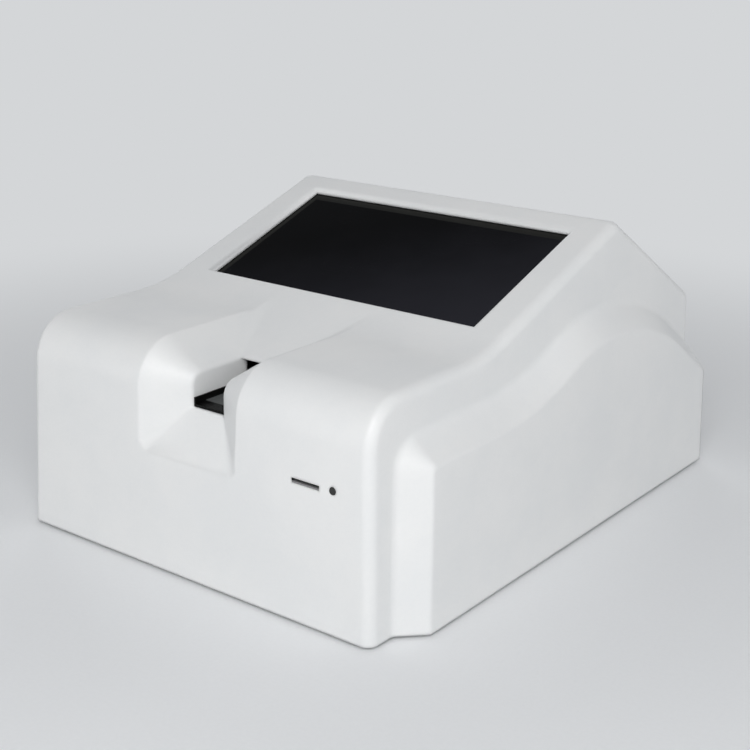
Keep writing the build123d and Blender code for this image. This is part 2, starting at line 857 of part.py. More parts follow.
def make_rack_screws():
    """Small countersunk screws through the tray's floor into the rack."""
    return copies(sunk_screw(small_screw, tray_floor + rack_back), rack_screw_places())


def gear_face():
    """Involute gear in its own plane, one tooth pointing up."""
    base = pitch_radius * cos(pressure_angle)
    tip = pitch_radius + gear_module
    root = pitch_radius - gear_module - root_gap
    spread = half_tooth / pitch_radius + tan(pressure_angle) - pressure_angle

    def flank_point(radius):
        roll = sqrt((radius / base) ** 2 - 1)
        turn = spread - (roll - asin(roll * base / radius))
        return radius * sin(turn), radius * cos(turn)

    steps = [base + (tip - base) * share for share in (0, 0.35, 0.7, 1)]
    right = [flank_point(radius) for radius in steps]
    left = [(-x, y) for x, y in reversed(right)]
    foot = root - root_gap
    edges = Curve() + [Spline(*right), ThreePointArc(right[-1], (0, tip), left[0]), Spline(*left)]
    edges += Polyline(left[-1], (left[-1][0], foot), (right[0][0], foot), right[0])
    tooth = make_face(edges)
    return Circle(root) + [Rot(0, 0, 360 * count / pinion_teeth) * tooth for count in range(pinion_teeth)]


def make_pinion():
    """Gear under the rack with a hub on its left side."""
    gear = extrude(gear_face() - Circle(shaft_size / 2), amount=gear_width)
    hub = extrude(Circle(hub_size / 2) - Circle(shaft_size / 2), amount=-hub_length)
    turned = Plane(origin=(rack_x - gear_width / 2, pinion_y, pinion_z), x_dir=(0, 1, 0), z_dir=(1, 0, 0))
    return turned * (gear + hub)


# Reader
rail_inner = tray_half + rail_gap
rail_outer = rail_inner + rail_width
rail_low = reader_level + reader_plate
rail_top = tray_bottom + tray_height + rail_lip
shaft_left = -rail_outer
shaft_right = rail_outer + motor_length / 2


def across(x, y, z):
    """A place whose local +Z points along +X."""
    return Pos(x, y, z) * Rot(0, 90, 0)


def make_shaft():
    """Drive shaft from the far bush into the motor."""
    bar = rod(shaft_size / 2, 0, shaft_right - shaft_left)
    return across(shaft_left, pinion_y, pinion_z) * chamfer(bar.edges().sort_by(Axis.Z)[0], shaft_size / 10)


def make_bushes():
    """Plain bushes for the shaft, one in each rail."""
    bore = rod(shaft_size / 2 + running_fit, -overlap, rail_width + overlap)
    ring = rod(bush_size / 2, 0, rail_width) - bore
    return copies(ring, [across(x, pinion_y, pinion_z) for x in (-rail_outer, rail_inner)])


def motor_screw_places():
    """Seats of the motor's screws on its flange."""
    x = rail_outer + motor_flange
    return [across(x, pinion_y + sign * motor_screw_gap / 2, pinion_z) for sign in (-1, 1)]


def make_motor():
    """Stepper motor with its flange on the outside of the right rail."""
    place = across(rail_outer, pinion_y, pinion_z)
    can = rod(motor_size / 2, 0, motor_length)
    can = fillet(can.edges().sort_by(Axis.Z)[-1], overlap)
    flange = extrude(SlotCenterToCenter(motor_screw_gap, post_size + overlap), amount=motor_flange)
    flange = Rot(0, 0, 90) * flange
    lead = Pos(0, -motor_size / 2, motor_length / 2) * Box(motor_size / 2, motor_flange * 2, motor_size / 3)
    bore = rod(shaft_size / 2 + running_fit, -overlap, shaft_right - rail_outer + overlap)
    motor = place * (can + flange + lead - bore)
    return motor - [seat * clear_hole(small_screw, 2 * motor_flange) for seat in motor_screw_places()]


def make_motor_screws():
    """Two small screws through the motor's flange into the rail."""
    return copies(pan_screw(small_screw, motor_flange + rail_width - overlap), motor_screw_places())


def rail_screw_places():
    """Seats of the screws that hold the rails, under the reader plate."""
    x = (rail_inner + rail_outer) / 2
    ys = (rail_front + 2 * post_size, rail_end - 2 * post_size)
    return [Pos(sx * x, y, reader_level) * Rot(180, 0, 0) for sx in (-1, 1) for y in ys]


def optics_screw_places():
    """Seats of the reading head's screws on its top."""
    x = (rail_inner + rail_outer) / 2
    ys = (optics_y + post_size / 2, optics_y + optics_length - post_size / 2)
    return [Pos(sx * x, y, rail_top + optics_height) for sx in (-1, 1) for y in ys]


def heater_screw_places():
    """Seats of the heater's screws on the outside of the left rail."""
    ys = (heater_y + post_size, heater_y + heater_length - post_size)
    z = tray_bottom - heater_gap - heater_height / 2
    return [Pos(-rail_outer, y, z) * Rot(0, -90, 0) for y in ys]


def make_rails():
    """Two guide rails, grooved for the tray's tongues and bored for the shaft's bushes."""
    rail = block(rail_inner, rail_outer, rail_front, rail_end, rail_low, rail_top)
    groove = block(0, tray_half + tongue_width + rail_gap, rail_front - overlap, rail_end + overlap,
                   tongue_low - rail_gap, tongue_low + tongue_height + rail_gap)
    pair = rail - groove
    pair = pair + mirror(pair, Plane.YZ)
    pair = pair - across(-2 * rail_outer, pinion_y, pinion_z) * rod(bush_size / 2, 0, 4 * rail_outer)
    pair = pair - [place * pilot_hole(screw_size, 3 * reader_plate) for place in rail_screw_places()]
    depth = optics_height + (tray_height + rail_lip - tongue_height) / 2
    pair = pair - [place * pilot_hole(small_screw, depth) for place in optics_screw_places()]
    pair = pair - [place * clear_hole(small_screw, rail_width + overlap) for place in heater_screw_places()]
    thread = pilot_hole(small_screw, motor_flange + rail_width)
    return pair - [place * thread for place in motor_screw_places()]


def make_rail_screws():
    """Screws up through the reader plate into the rails."""
    return copies(pan_screw(screw_size, reader_plate + 2 * reader_plate), rail_screw_places())


def make_reader_base():
    """Plate on four posts that carries the card drive and the reading head."""
    plate = block(-reader_half, reader_half, rail_front, rail_end, reader_level, rail_low)
    plate = fillet(plate.edges().filter_by(Axis.Z), post_size / 2)
    plate = plate - [place * clear_hole(screw_size, 2 * reader_level) for place in reader_post_places()]
    return plate - [place * clear_hole(screw_size, 2 * reader_plate) for place in rail_screw_places()]


def make_posts(places, low, high):
    """Round threaded posts between two heights."""
    bore = screw_size / 2 + thread_gap
    post = rod(post_size / 2 + overlap, low, high) - rod(bore, low - overlap, high + overlap)
    return copies(post, places)


def make_top_screws(places, seat, length):
    """Pan-head screws driven down into posts."""
    return copies(Pos(0, 0, seat) * pan_screw(screw_size, length), places)


# Heights and centres inside the reading head
optics_middle = optics_y + optics_length / 2
optics_top = rail_top + optics_height
bore_places = [Pos(0, optics_middle + sign * optics_spread / 2, 0) for sign in (-1, 1)]


def make_optics_block():
    """Dark block bridging the rails, with a light bore and a detector bore."""
    head = block(-rail_outer, rail_outer, optics_y, optics_y + optics_length, rail_top, optics_top)
    head = fillet(head.edges().filter_by(Axis.Z), overlap)
    bore = rod(optics_bore / 2, rail_top - overlap, optics_top + overlap)
    head = head - [place * bore for place in bore_places]
    return head - [place * clear_hole(small_screw, 2 * optics_height) for place in optics_screw_places()]


def make_optics_screws():
    """Small screws down through the reading head into the rails."""
    length = optics_height + (tray_height + rail_lip - tongue_height) / 2 - overlap
    return copies(pan_screw(small_screw, length), optics_screw_places())


def make_light_source():
    """Round lamp hanging from the detector board into the light bore."""
    radius = optics_bore / 2 - piece_gap / 2
    low = optics_top - lens_depth + overlap
    lamp = rod(radius, low, optics_top)
    lamp = fillet(lamp.edges().sort_by(Axis.Z)[0], radius * 2 / 3)
    return bore_places[0] * lamp


def make_detector():
    """Round detector can hanging into the second bore."""
    radius = optics_bore / 2 - piece_gap / 2
    return bore_places[1] * rod(radius, optics_top - lens_depth / 2, optics_top)


def make_lenses():
    """A domed lens in each bore above the card."""
    radius = lens_size / 2
    level = rail_top + overlap
    lens = rod(radius, level, level + 2 * overlap)
    dome = Pos(0, 0, level + 3 * overlap - 2 * radius) * Sphere(2 * radius)
    lens = lens + (rod(radius, level + overlap, level + 4 * overlap) & dome)
    return copies(lens, bore_places)


def make_detector_board():
    """Small board on the reading head that holds lamp and detector."""
    half = rail_inner - overlap
    board = block(-half, half, optics_y + overlap, optics_y + optics_length - overlap,
                  optics_top, optics_top + board_thickness)
    chip = block(-half / 2, half / 2, optics_middle - 3, optics_middle + 3,
                 optics_top + board_thickness, optics_top + 2 * board_thickness)
    return board + chip


heater_top = tray_bottom - heater_gap


def probe_place():
    """Axis of the temperature probe in the heater."""
    return Pos(-rail_inner + heater_width / 2, heater_y + heater_length / 2, 0)


def make_heater():
    """Aluminium heating block under the tray, fixed to the left rail."""
    heater = block(-rail_inner, -rail_inner + heater_width, heater_y, heater_y + heater_length,
                   heater_top - heater_height, heater_top)
    bore = rod(sensor_probe / 2 + thread_gap, heater_top - 2 * heater_height, heater_top - overlap)
    heater = heater - probe_place() * bore
    depth = rail_width + sensor_probe
    return heater - [place * pilot_hole(small_screw, depth) for place in heater_screw_places()]


def make_heater_screws():
    """Small screws through the left rail into the heater."""
    return copies(pan_screw(small_screw, rail_width + sensor_probe - overlap), heater_screw_places())


def make_probe():
    """Temperature probe pushed up into the heater."""
    return probe_place() * rod(sensor_probe / 2, heater_top - 3 * heater_height / 2, heater_top - 2 * overlap)


def make_tray_sensor():
    """Fork sensor on the left rail that the tray's flag enters when the tray is in."""
    gap = flag_thickness / 2 + 2 * piece_gap
    arm = 2 * flag_thickness
    middle = tray_end + tray_travel - flag_length / 2
    half = flag_length
    top = tray_bottom - heater_gap
    bottom = tray_bottom - flag_drop - 4 * flag_thickness
    fork = block(-rail_inner, -flag_x + gap + arm, middle - half, middle + half, bottom, top)
    slot = block(-flag_x - gap, -flag_x + gap, middle - 2 * half, middle + 2 * half,
                 bottom + arm, top + overlap)
    return fork - slot


# Main board, power supply and rear connectors
board_top = board_level + board_thickness


def make_main_board():
    """Main circuit board."""
    board = block(board_left, board_right, board_front, board_rear, board_level, board_top)
    return board - [place * clear_hole(screw_size, reach) for place in board_post_places()]


def make_chips():
    """Processor, memories and ribbon socket on the main board."""
    middle = (board_left + board_right) / 2
    level = Pos(middle, board_front + board_length / 2, board_top)
    stand = Rot(180, 0, 0)
    chips = [stand * lump(chip_size, chip_size, chip_height)]
    small = stand * lump(small_chip, small_chip, chip_height)
    chips += [Pos(x * chip_size, y * chip_size, 0) * small for x in (-1.2, 1.2) for y in (-1, 0)]
    socket = stand * lump(ribbon_width, ribbon_length, ribbon_height)
    chips.append(Pos(0, board_margin - board_length / 2 + ribbon_length, 0) * socket)
    return Compound(children=[level * chip for chip in chips])


def make_buzzer():
    """Round buzzer with a sound hole."""
    radius = 2 * post_size
    buzzer = rod(radius / 2, 0, radius * 3 / 4) - rod(overlap, radius / 2, radius)
    return Pos(board_right - radius, board_front + board_length / 2 + radius, board_top) * buzzer


def make_usb_port():
    """USB socket with its tongue."""
    half = usb_width / 2
    port = block(-half, half, -usb_depth, 0, board_top, board_top + usb_height)
    rim = usb_tongue / 2
    port = port - block(rim - half, half - rim, -usb_depth * 2 / 3, overlap,
                        board_top + rim, board_top + usb_height - rim)
    middle = board_top + usb_height / 2
    port = port + block(2 * rim - half, half - 2 * rim, -usb_depth, -overlap, middle - rim, middle + rim)
    return Pos(usb_x, panel_outer, 0) * port


def make_network_port():
    """Network socket with the latch notch at its top."""
    half = network_width / 2
    port = block(-half, half, -network_depth, 0, board_top, board_top + network_height)
    half = half - 2 * overlap
    low = board_top + 2 * overlap
    mouth = block(-half, half, -plug_depth, overlap, low, low + plug_height)
    latch = block(-half / 2, half / 2, -plug_depth, overlap, low, low + latch_height)
    wire = block(-contact_width / 2, contact_width / 2, -plug_depth, -2 * overlap, low, low + contact_height)
    wires = [Pos((count - 3.5) * contact_pitch, 0, 0) * wire for count in range(8)]
    return Pos(network_x, panel_outer, 0) * (port - mouth - latch + wires)


def make_serial_port():
    """Nine-pin serial socket with its two jack posts."""
    middle = serial_height / 2
    rear = Pos(0, 0, middle) * Rot(90, 0, 0)
    outline = RectangleRounded(serial_nose, serial_height - 4 * overlap, serial_corner)
    nose = rear * extrude(outline, amount=serial_reach)
    hollow = rear * Pos(0, 0, -overlap) * extrude(offset(outline, amount=-serial_skin), amount=serial_reach)
    body = block(-serial_width / 2, serial_width / 2, -serial_depth, -serial_reach, 0, serial_height)
    row = [(count - 2) * pin_pitch for count in range(5)]
    spots = [(x, pin_pitch / 2) for x in row] + [(x + pin_pitch / 2, -pin_pitch / 2) for x in row[:4]]
    pin = rod(overlap / 2, overlap, serial_reach + overlap)
    pins = [rear * Pos(x, z, 0) * pin for x, z in spots]
    return Pos(serial_x, panel_outer, board_top) * (body + (nose - hollow) + pins)


def make_inlet():
    """Power inlet: a flanged socket with a deep recess and chamfered corners."""
    def bar(width, height, start, depth):
        outline = chamfer(Rectangle(width, height).vertices().group_by(Axis.Y)[-1], inlet_corner)
        return Pos(0, start, 0) * Rot(90, 0, 0) * extrude(outline, amount=depth)

    body = bar(inlet_width, inlet_height, 0, inlet_depth)
    half = inlet_width / 2 + inlet_flange
    high = inlet_height / 2 + overlap
    flange = block(-half, half, -panel_thickness - 3 * overlap, -panel_thickness, -high, high)
    rim = 2 * inlet_wall
    recess = bar(inlet_width - rim, inlet_height - rim, overlap, inlet_cavity + overlap)
    inlet = Pos(inlet_x, panel_outer, connector_level) * (body + flange - recess)
    return inlet - [place * pilot_hole(screw_size, inlet_flange) for place in inlet_screw_places()]


def inlet_screw_places():
    """Seats of the inlet's screws in the rear panel."""
    x = inlet_width / 2 + inlet_flange / 2
    return [Pos(inlet_x + sign * x, panel_outer, connector_level) * Rot(-90, 0, 0) for sign in (-1, 1)]


def make_inlet_pins():
    """Three flat contact blades in the inlet."""
    blade = block(-overlap, overlap, -inlet_cavity, -inlet_mouth, -inlet_pin / 2, inlet_pin / 2)
    side = inlet_width / 4
    low = inlet_pin / 2
    spots = [(-side, -low), (0, low), (side, -low)]
    return copies(blade, [Pos(inlet_x + x, panel_outer, connector_level + z) for x, z in spots])


# Pivot of the rocker, set so that its raised end stays inside the rear face
rocker_lift = rocker_rise * cos(radians(rocker_tilt)) + rocker_half * sin(radians(rocker_tilt))
rocker_y = panel_outer - rocker_lift - piece_gap


def make_switch_frame():
    """Frame of the power switch, open to the rear round the rocker."""
    wide = switch_width / 2
    tall = switch_height / 2
    outer = block(-wide, wide, panel_outer - switch_depth, panel_outer, -tall, tall)
    half = rocker_width / 2 + rocker_gap
    high = rocker_half + rocker_rise * sin(radians(rocker_tilt)) + rocker_gap
    room = block(-half, half, rocker_y - 2 * rocker_rise, panel_outer + overlap, -high, high)
    pin = rod(rocker_pin / 2 + running_fit, -half - overlap, half + overlap)
    return Pos(switch_x, 0, connector_level) * (outer - room - across(0, rocker_y, 0) * pin)


def make_rocker():
    """Rocker of the power switch, tipped to its off side, with its two pivot pins."""
    heel = rocker_half / 2
    upper = [(rocker_rise, rocker_half), (rocker_rise - overlap, 0), (rocker_rise, -rocker_half)]
    lower = [(rocker_rise / 2, -rocker_half), (-rocker_rise / 2, -heel), (-rocker_rise / 2, heel)]
    outline = Polyline(*upper, *lower, (rocker_rise / 2, rocker_half), close=True)
    face = Rot(0, 0, rocker_tilt) * make_face(outline)
    body = extrude(Plane.YZ * face, amount=rocker_width / 2, both=True)
    reach_out = rocker_width / 2 + rocker_gap + overlap - running_fit
    pin = Rot(0, 90, 0) * rod(rocker_pin / 2, -reach_out, reach_out)
    return Pos(switch_x, rocker_y, connector_level) * (body + pin)


def make_rear_panel():
    """Metal panel let into the rear wall, with a hole for each connector."""
    half = panel_width / 2
    panel = block(-half, half, panel_inner, panel_outer, panel_low, panel_high)
    panel = fillet(panel.edges().filter_by(Axis.Y), overlap)

    def hole(x, width, low, high):
        side = width / 2 + panel_gap
        return block(x - side, x + side, panel_inner - overlap, panel_outer + overlap,
                     low - panel_gap, high + panel_gap)

    panel = panel - hole(usb_x, usb_width, board_top, board_top + usb_height)
    panel = panel - hole(network_x, network_width, board_top, board_top + network_height)
    low = board_top + 2 * overlap
    panel = panel - hole(serial_x, serial_nose, low, low + serial_height - 4 * overlap)
    low = connector_level - inlet_height / 2
    panel = panel - hole(inlet_x, inlet_width, low, low + inlet_height)
    low = connector_level - switch_height / 2
    panel = panel - hole(switch_x, switch_width, low, low + switch_height)
    places = panel_screw_places() + inlet_screw_places()
    return panel - [place * sunk_hole(screw_size, 2 * panel_thickness) for place in places]


def make_supply():
    """Power supply in a vented metal case with a terminal strip at its front."""
    case = block(supply_left, supply_left + supply_width, supply_front, supply_front + supply_length,
                 base_thickness, base_thickness + supply_height)
    case = fillet(case.edges().filter_by(Axis.Z), overlap)
    top = base_thickness + supply_height
    ends = (supply_left + 3 * post_size, supply_left + supply_width - 3 * post_size)
    slot = block(*ends, 0, 2 * overlap, top - 2 * overlap, top + overlap)
    case = case - [Pos(0, supply_front + 5 * post_size + row * post_size, 0) * slot for row in range(10)]
    low = base_thickness + post_size
    strip = block(supply_left + post_size, supply_left + supply_width - post_size,
                  supply_front - 2 * post_size, supply_front, low, low + 2 * post_size)
    case = case + strip
    bore = rod(screw_size / 2 + thread_gap, 0, 2 * post_size)
    return case - [place * bore for place in supply_screw_places()]


base_screw_length = base_thickness + boss_height / 2
post_screw_length = base_thickness + post_size

parts = {
    "housing": make_housing(),
    "base_plate": make_base_plate(),
    "rubber_feet": make_feet(),
    "housing_screws": make_under_screws(base_boss_places(), base_screw_length),
    "screen_gasket": make_gasket(),
    "touch_glass": make_glass(),
    "lcd_module": make_lcd(),
    "lcd_bracket": make_bracket(),
    "lcd_screws": make_lcd_screws(),
    "display_board": make_display_board(),
    "display_screws": make_display_screws(),
    "code_board": make_code_board(),
    "code_card_socket": make_code_socket(),
    "code_board_screws": make_code_screws(),
    "indicator_lens": make_indicator_lens(),
    "indicator_lamp": make_indicator_lamp(),
    "card_tray": make_tray(),
    "tray_rack": make_rack(),
    "rack_screws": make_rack_screws(),
    "tray_pinion": make_pinion(),
    "pinion_shaft": make_shaft(),
    "shaft_bushes": make_bushes(),
    "tray_motor": make_motor(),
    "motor_screws": make_motor_screws(),
    "guide_rails": make_rails(),
    "rail_screws": make_rail_screws(),
    "reader_base": make_reader_base(),
    "reader_posts": make_posts(reader_post_places(), base_thickness, reader_level),
    "reader_foot_screws": make_under_screws(reader_post_places(), post_screw_length),
    "reader_screws": make_top_screws(reader_post_places(), rail_low, reader_plate + post_size),
    "optics_block": make_optics_block(),
    "optics_screws": make_optics_screws(),
    "light_source": make_light_source(),
    "light_detector": make_detector(),
    "focusing_lenses": make_lenses(),
    "detector_board": make_detector_board(),
    "heater_block": make_heater(),
    "heater_screws": make_heater_screws(),
    "temperature_probe": make_probe(),
    "tray_sensor": make_tray_sensor(),
    "main_board": make_main_board(),
    "board_chips": make_chips(),
    "board_posts": make_posts(board_post_places(), base_thickness, board_level),
    "board_foot_screws": make_under_screws(board_post_places(), post_screw_length),
    "board_screws": make_top_screws(board_post_places(), board_top, board_thickness + post_size),
    "buzzer": make_buzzer(),
    "usb_port": make_usb_port(),
    "network_port": make_network_port(),
    "serial_port": make_serial_port(),
    "rear_panel": make_rear_panel(),
    "rear_panel_screws": copies(sunk_screw(screw_size, boss_size - 2 * overlap), panel_screw_places()),
    "power_inlet": make_inlet(),
    "inlet_screws": copies(sunk_screw(screw_size, inlet_flange - 2 * overlap), inlet_screw_places()),
    "inlet_pins": make_inlet_pins(),
    "switch_frame": make_switch_frame(),
    "power_rocker": make_rocker(),
    "power_supply": make_supply(),
    "supply_screws": make_under_screws(supply_screw_places(), post_screw_length),
}

# The origin moves from the front edge to the table under the middle of the object
to_middle = Pos(0, -body_depth / 2, foot_height)
os.makedirs("parts", exist_ok=True)
for name, shape in parts.items():
    export_step(to_middle * shape, f"parts/{name}.step")
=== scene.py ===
"""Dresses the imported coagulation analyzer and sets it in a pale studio, seen as in its photo."""

import logging
from collections.abc import Sequence
from dataclasses import dataclass, field
from enum import Enum
from math import degrees, pi, radians

import bmesh
import bpy
from mathutils import Matrix, Vector
from mathutils.bvhtree import BVHTree


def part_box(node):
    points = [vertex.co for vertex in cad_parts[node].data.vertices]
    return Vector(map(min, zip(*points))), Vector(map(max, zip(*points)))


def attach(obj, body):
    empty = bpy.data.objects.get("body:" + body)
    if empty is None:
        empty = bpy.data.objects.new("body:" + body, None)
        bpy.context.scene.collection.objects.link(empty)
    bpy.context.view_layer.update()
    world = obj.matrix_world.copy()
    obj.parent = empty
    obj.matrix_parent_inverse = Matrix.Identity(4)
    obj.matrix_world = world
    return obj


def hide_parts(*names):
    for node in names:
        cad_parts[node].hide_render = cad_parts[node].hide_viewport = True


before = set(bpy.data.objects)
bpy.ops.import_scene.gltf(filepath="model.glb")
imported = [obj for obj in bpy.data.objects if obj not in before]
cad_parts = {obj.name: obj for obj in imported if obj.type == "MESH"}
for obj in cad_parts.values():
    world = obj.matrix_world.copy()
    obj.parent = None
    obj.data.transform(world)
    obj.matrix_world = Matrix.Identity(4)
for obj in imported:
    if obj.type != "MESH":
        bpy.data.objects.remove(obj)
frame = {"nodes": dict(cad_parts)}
NODES: dict[str, bpy.types.Object] = frame["nodes"]
MM = 0.001
MERGE_DISTANCE = 1e-6
FLAT_ANGLE = radians(0.3)
ROUNDED_ANGLE = radians(30)
EDGE_SAMPLES = 6
SHADING_WEIGHT = 60
log = logging.getLogger("analyzer")

Colour = tuple[float, float, float, float]


def tone(red: int, green: int, blue: int) -> Colour:
    """Turns a screen colour into the linear colour that a shader takes.

    Args:
        red: Red from 0 to 255.
        green: Green from 0 to 255.
        blue: Blue from 0 to 255.

    Returns:
        The linear colour with full alpha.
    """
    def linear(level: int) -> float:
        """Undoes the screen's gamma for one channel."""
        share = level / 255
        return share / 12.92 if share <= 0.04045 else ((share + 0.055) / 1.055) ** 2.4

    return linear(red), linear(green), linear(blue), 1.0


# Shader building


class Value:
    """A socket of a node tree whose arithmetic adds Math nodes."""

    def __init__(self, paint: "Paint", socket: bpy.types.NodeSocket | None) -> None:
        """Wraps a socket.

        Args:
            paint: The painter whose tree the socket belongs to.
            socket: The output socket, or None for a node that has none.
        """
        self.paint = paint
        self.socket = socket

    def _math(self, operation: str, first: "Value | float", second: "Value | float") -> "Value":
        """Adds one Math node on two numbers.

        Args:
            operation: The Math node's operation.
            first: The upper input.
            second: The lower input.

        Returns:
            The node's result.
        """
        return self.paint.node("ShaderNodeMath", {"operation": operation}, {0: first, 1: second})

    def __add__(self, other: "Value | float") -> "Value":
        """Adds a number or value."""
        return self._math("ADD", self, other)

    def __radd__(self, other: float) -> "Value":
        """Adds this value to a number."""
        return self._math("ADD", other, self)

    def __sub__(self, other: "Value | float") -> "Value":
        """Takes a number or value away."""
        return self._math("SUBTRACT", self, other)

    def __rsub__(self, other: float) -> "Value":
        """Takes this value from a number."""
        return self._math("SUBTRACT", other, self)

    def __mul__(self, other: "Value | float") -> "Value":
        """Multiplies by a number or value."""
        return self._math("MULTIPLY", self, other)

    def __rmul__(self, other: float) -> "Value":
        """Multiplies a number by this value."""
        return self._math("MULTIPLY", other, self)

    def __gt__(self, other: "Value | float") -> "Value":
        """Gives 1 where this value is the greater."""
        return self._math("GREATER_THAN", self, other)

    def __lt__(self, other: "Value | float") -> "Value":
        """Gives 1 where this value is the smaller."""
        return self._math("LESS_THAN", self, other)

    def __mod__(self, other: float) -> "Value":
        """Gives the remainder after division, never negative."""
        return self._math("FLOORED_MODULO", self, other)

    def ramp(self, low: float, high: float, start: float = 0.0, end: float = 1.0) -> "Value":
        """Maps a range smoothly onto another.

        Args:
            low: The input that gives start.
            high: The input that gives end.
            start: The result at low.
            end: The result at high.

        Returns:
            The mapped value.
        """
        return self.paint.node(
            "ShaderNodeMapRange",
            {"interpolation_type": "SMOOTHSTEP"},
            {"Value": self, "From Min": low, "From Max": high, "To Min": start, "To Max": end},
        )


class Paint:
    """Builds the nodes of one material or world."""

    def __init__(self, holder: bpy.types.Material | bpy.types.World) -> None:
        """Starts on an empty tree.

        Args:
            holder: The material or world that is painted.
        """
        self.holder = holder
        holder.use_nodes = True
        self.tree = holder.node_tree
        self.tree.nodes.clear()

    def node(
        self,
        kind: str,
        settings: dict[str, object] | None = None,
        sockets: dict[str | int, object] | None = None,
        result: str | int = 0,
    ) -> Value:
        """Adds a node, sets it up and fills its sockets.

        Args:
            kind: The node's type.
            settings: Its settings, set before its sockets.
            sockets: The value or link of each named or numbered input.
            result: The output that is handed back.

        Returns:
            The chosen output.
        """
        made = self.tree.nodes.new(kind)
        for name, setting in (settings or {}).items():
            setattr(made, name, setting)
        for name, given in (sockets or {}).items():
            if isinstance(given, Value):
                self.tree.links.new(given.socket, made.inputs[name])
            else:
                made.inputs[name].default_value = given
        return Value(self, made.outputs[result]) if made.outputs else Value(self, None)

    def place(self, scale: tuple[float, float, float] = (1, 1, 1)) -> Value:
        """Gives the piece's own coordinates in metres, stretched.

        Args:
            scale: Stretch along each axis.

        Returns:
            The coordinates.
        """
        here = self.node("ShaderNodeTexCoord", result="Object")
        return self.node("ShaderNodeMapping", sockets={"Vector": here, "Scale": scale})

    def axis(self, name: str) -> Value:
        """Gives one coordinate of the piece in metres.

        Args:
            name: X, Y or Z.

        Returns:
            The coordinate.
        """
        return self.node("ShaderNodeSeparateXYZ", sockets={0: self.place()}, result=name)

    def noise(
        self, size: float, detail: float = 3.0, roughness: float = 0.55, where: Value | None = None
    ) -> Value:
        """Adds a noise texture.

        Args:
            size: The size of its features in metres.
            detail: How many finer layers it has.
            roughness: How strong the finer layers are.
            where: The coordinates, or the piece's own.

        Returns:
            The noise, about 0.5 on average.
        """
        where = where or self.place()
        sockets = {"Vector": where, "Scale": 1 / size, "Detail": detail, "Roughness": roughness}
        return self.node("ShaderNodeTexNoise", sockets=sockets)

    def cells(self, size: float, feature: str = "F1", result: str = "Distance") -> Value:
        """Adds a cell texture.

        Args:
            size: The size of a cell in metres.
            feature: What the texture measures.
            result: The output that is handed back.

        Returns:
            The chosen output.
        """
        sockets = {"Vector": self.place(), "Scale": 1 / size}
        return self.node("ShaderNodeTexVoronoi", {"feature": feature}, sockets, result)

    def mix(self, share: Value | float, first: Value | Colour, second: Value | Colour) -> Value:
        """Mixes two colours.

        Args:
            share: How much of the second colour there is.
            first: The colour at share 0.
            second: The colour at share 1.

        Returns:
            The mixed colour.
        """
        settings = {"data_type": "RGBA", "blend_type": "MIX"}
        return self.node("ShaderNodeMix", settings, {0: share, 6: first, 7: second}, 2)

    def bump(self, height: Value, depth: float, soft_edge: float = 0.0) -> Value:
        """Turns a height into a normal.

        Args:
            height: The height from 0 to 1.
            depth: The depth in metres that height 1 stands for.
            soft_edge: The radius in metres to which sharp edges look rounded.

        Returns:
            The normal.
        """
        sockets = {"Distance": depth, "Height": height}
        if soft_edge:
            sockets["Normal"] = self.node(
                "ShaderNodeBevel", {"samples": EDGE_SAMPLES}, {"Radius": soft_edge})
        return self.node("ShaderNodeBump", sockets=sockets)

    def finish(self, sockets: dict[str | int, object]) -> bpy.types.Material:
        """Ends the material with the main shader.

        Args:
            sockets: The shader's values and links.

        Returns:
            The finished material.
        """
        surface = self.node("ShaderNodeBsdfPrincipled", sockets=sockets)
        self.node("ShaderNodeOutputMaterial", sockets={"Surface": surface})
        return self.holder


# Finishes


@dataclass(frozen=True)
class Finish:
    """A named finish with sizes in metres, whose material is painted once."""

    name: str

    def paint(self, paint: Paint) -> bpy.types.Material:
        """Builds the material's nodes, each kind of finish in its own way.

        Args:
            paint: The painter of the empty material.

        Returns:
            The painted material.
        """
        raise NotImplementedError

    def material(self) -> bpy.types.Material:
        """Gives the material, and paints it the first time.

        Returns:
            The material.
        """
        made = bpy.data.materials.get(self.name + "_paint")
        return made or self.paint(Paint(bpy.data.materials.new(self.name + "_paint")))


@dataclass(frozen=True)
class MouldedPlastic(Finish):
    """Injection-moulded plastic with a fine spark-eroded grain and a little mottling."""

    colour: Colour
    shade: Colour
    roughness: float = 0.45
    grain: float = 0.5 * MM
    depth: float = 0.012 * MM
    sheen: float = 0.45
    soft_edge: float = 0.0

    def paint(self, paint: Paint) -> bpy.types.Material:
        """Paints the finish's nodes.

        Args:
            paint: The painter of the empty material.

        Returns:
            The painted material.
        """
        cloud = paint.noise(60 * MM, 4.0, 0.6)
        speck = paint.noise(1.6 * MM, 2.0, 0.7)
        share = cloud.ramp(0.3, 0.7) * 0.75 + speck.ramp(0.35, 0.75) * 0.25
        colour = paint.mix(share, self.colour, self.shade)
        grain = paint.cells(self.grain, "SMOOTH_F1") * 0.6 + paint.noise(self.grain * 3, 3.0) * 0.8
        rough = cloud.ramp(0.25, 0.75, self.roughness - 0.05, self.roughness + 0.05)
        return paint.finish({
            "Base Color": colour,
            "Roughness": rough + (speck - 0.5) * 0.06,
            "Specular IOR Level": self.sheen,
            "Normal": paint.bump(grain, self.depth, self.soft_edge),
        })


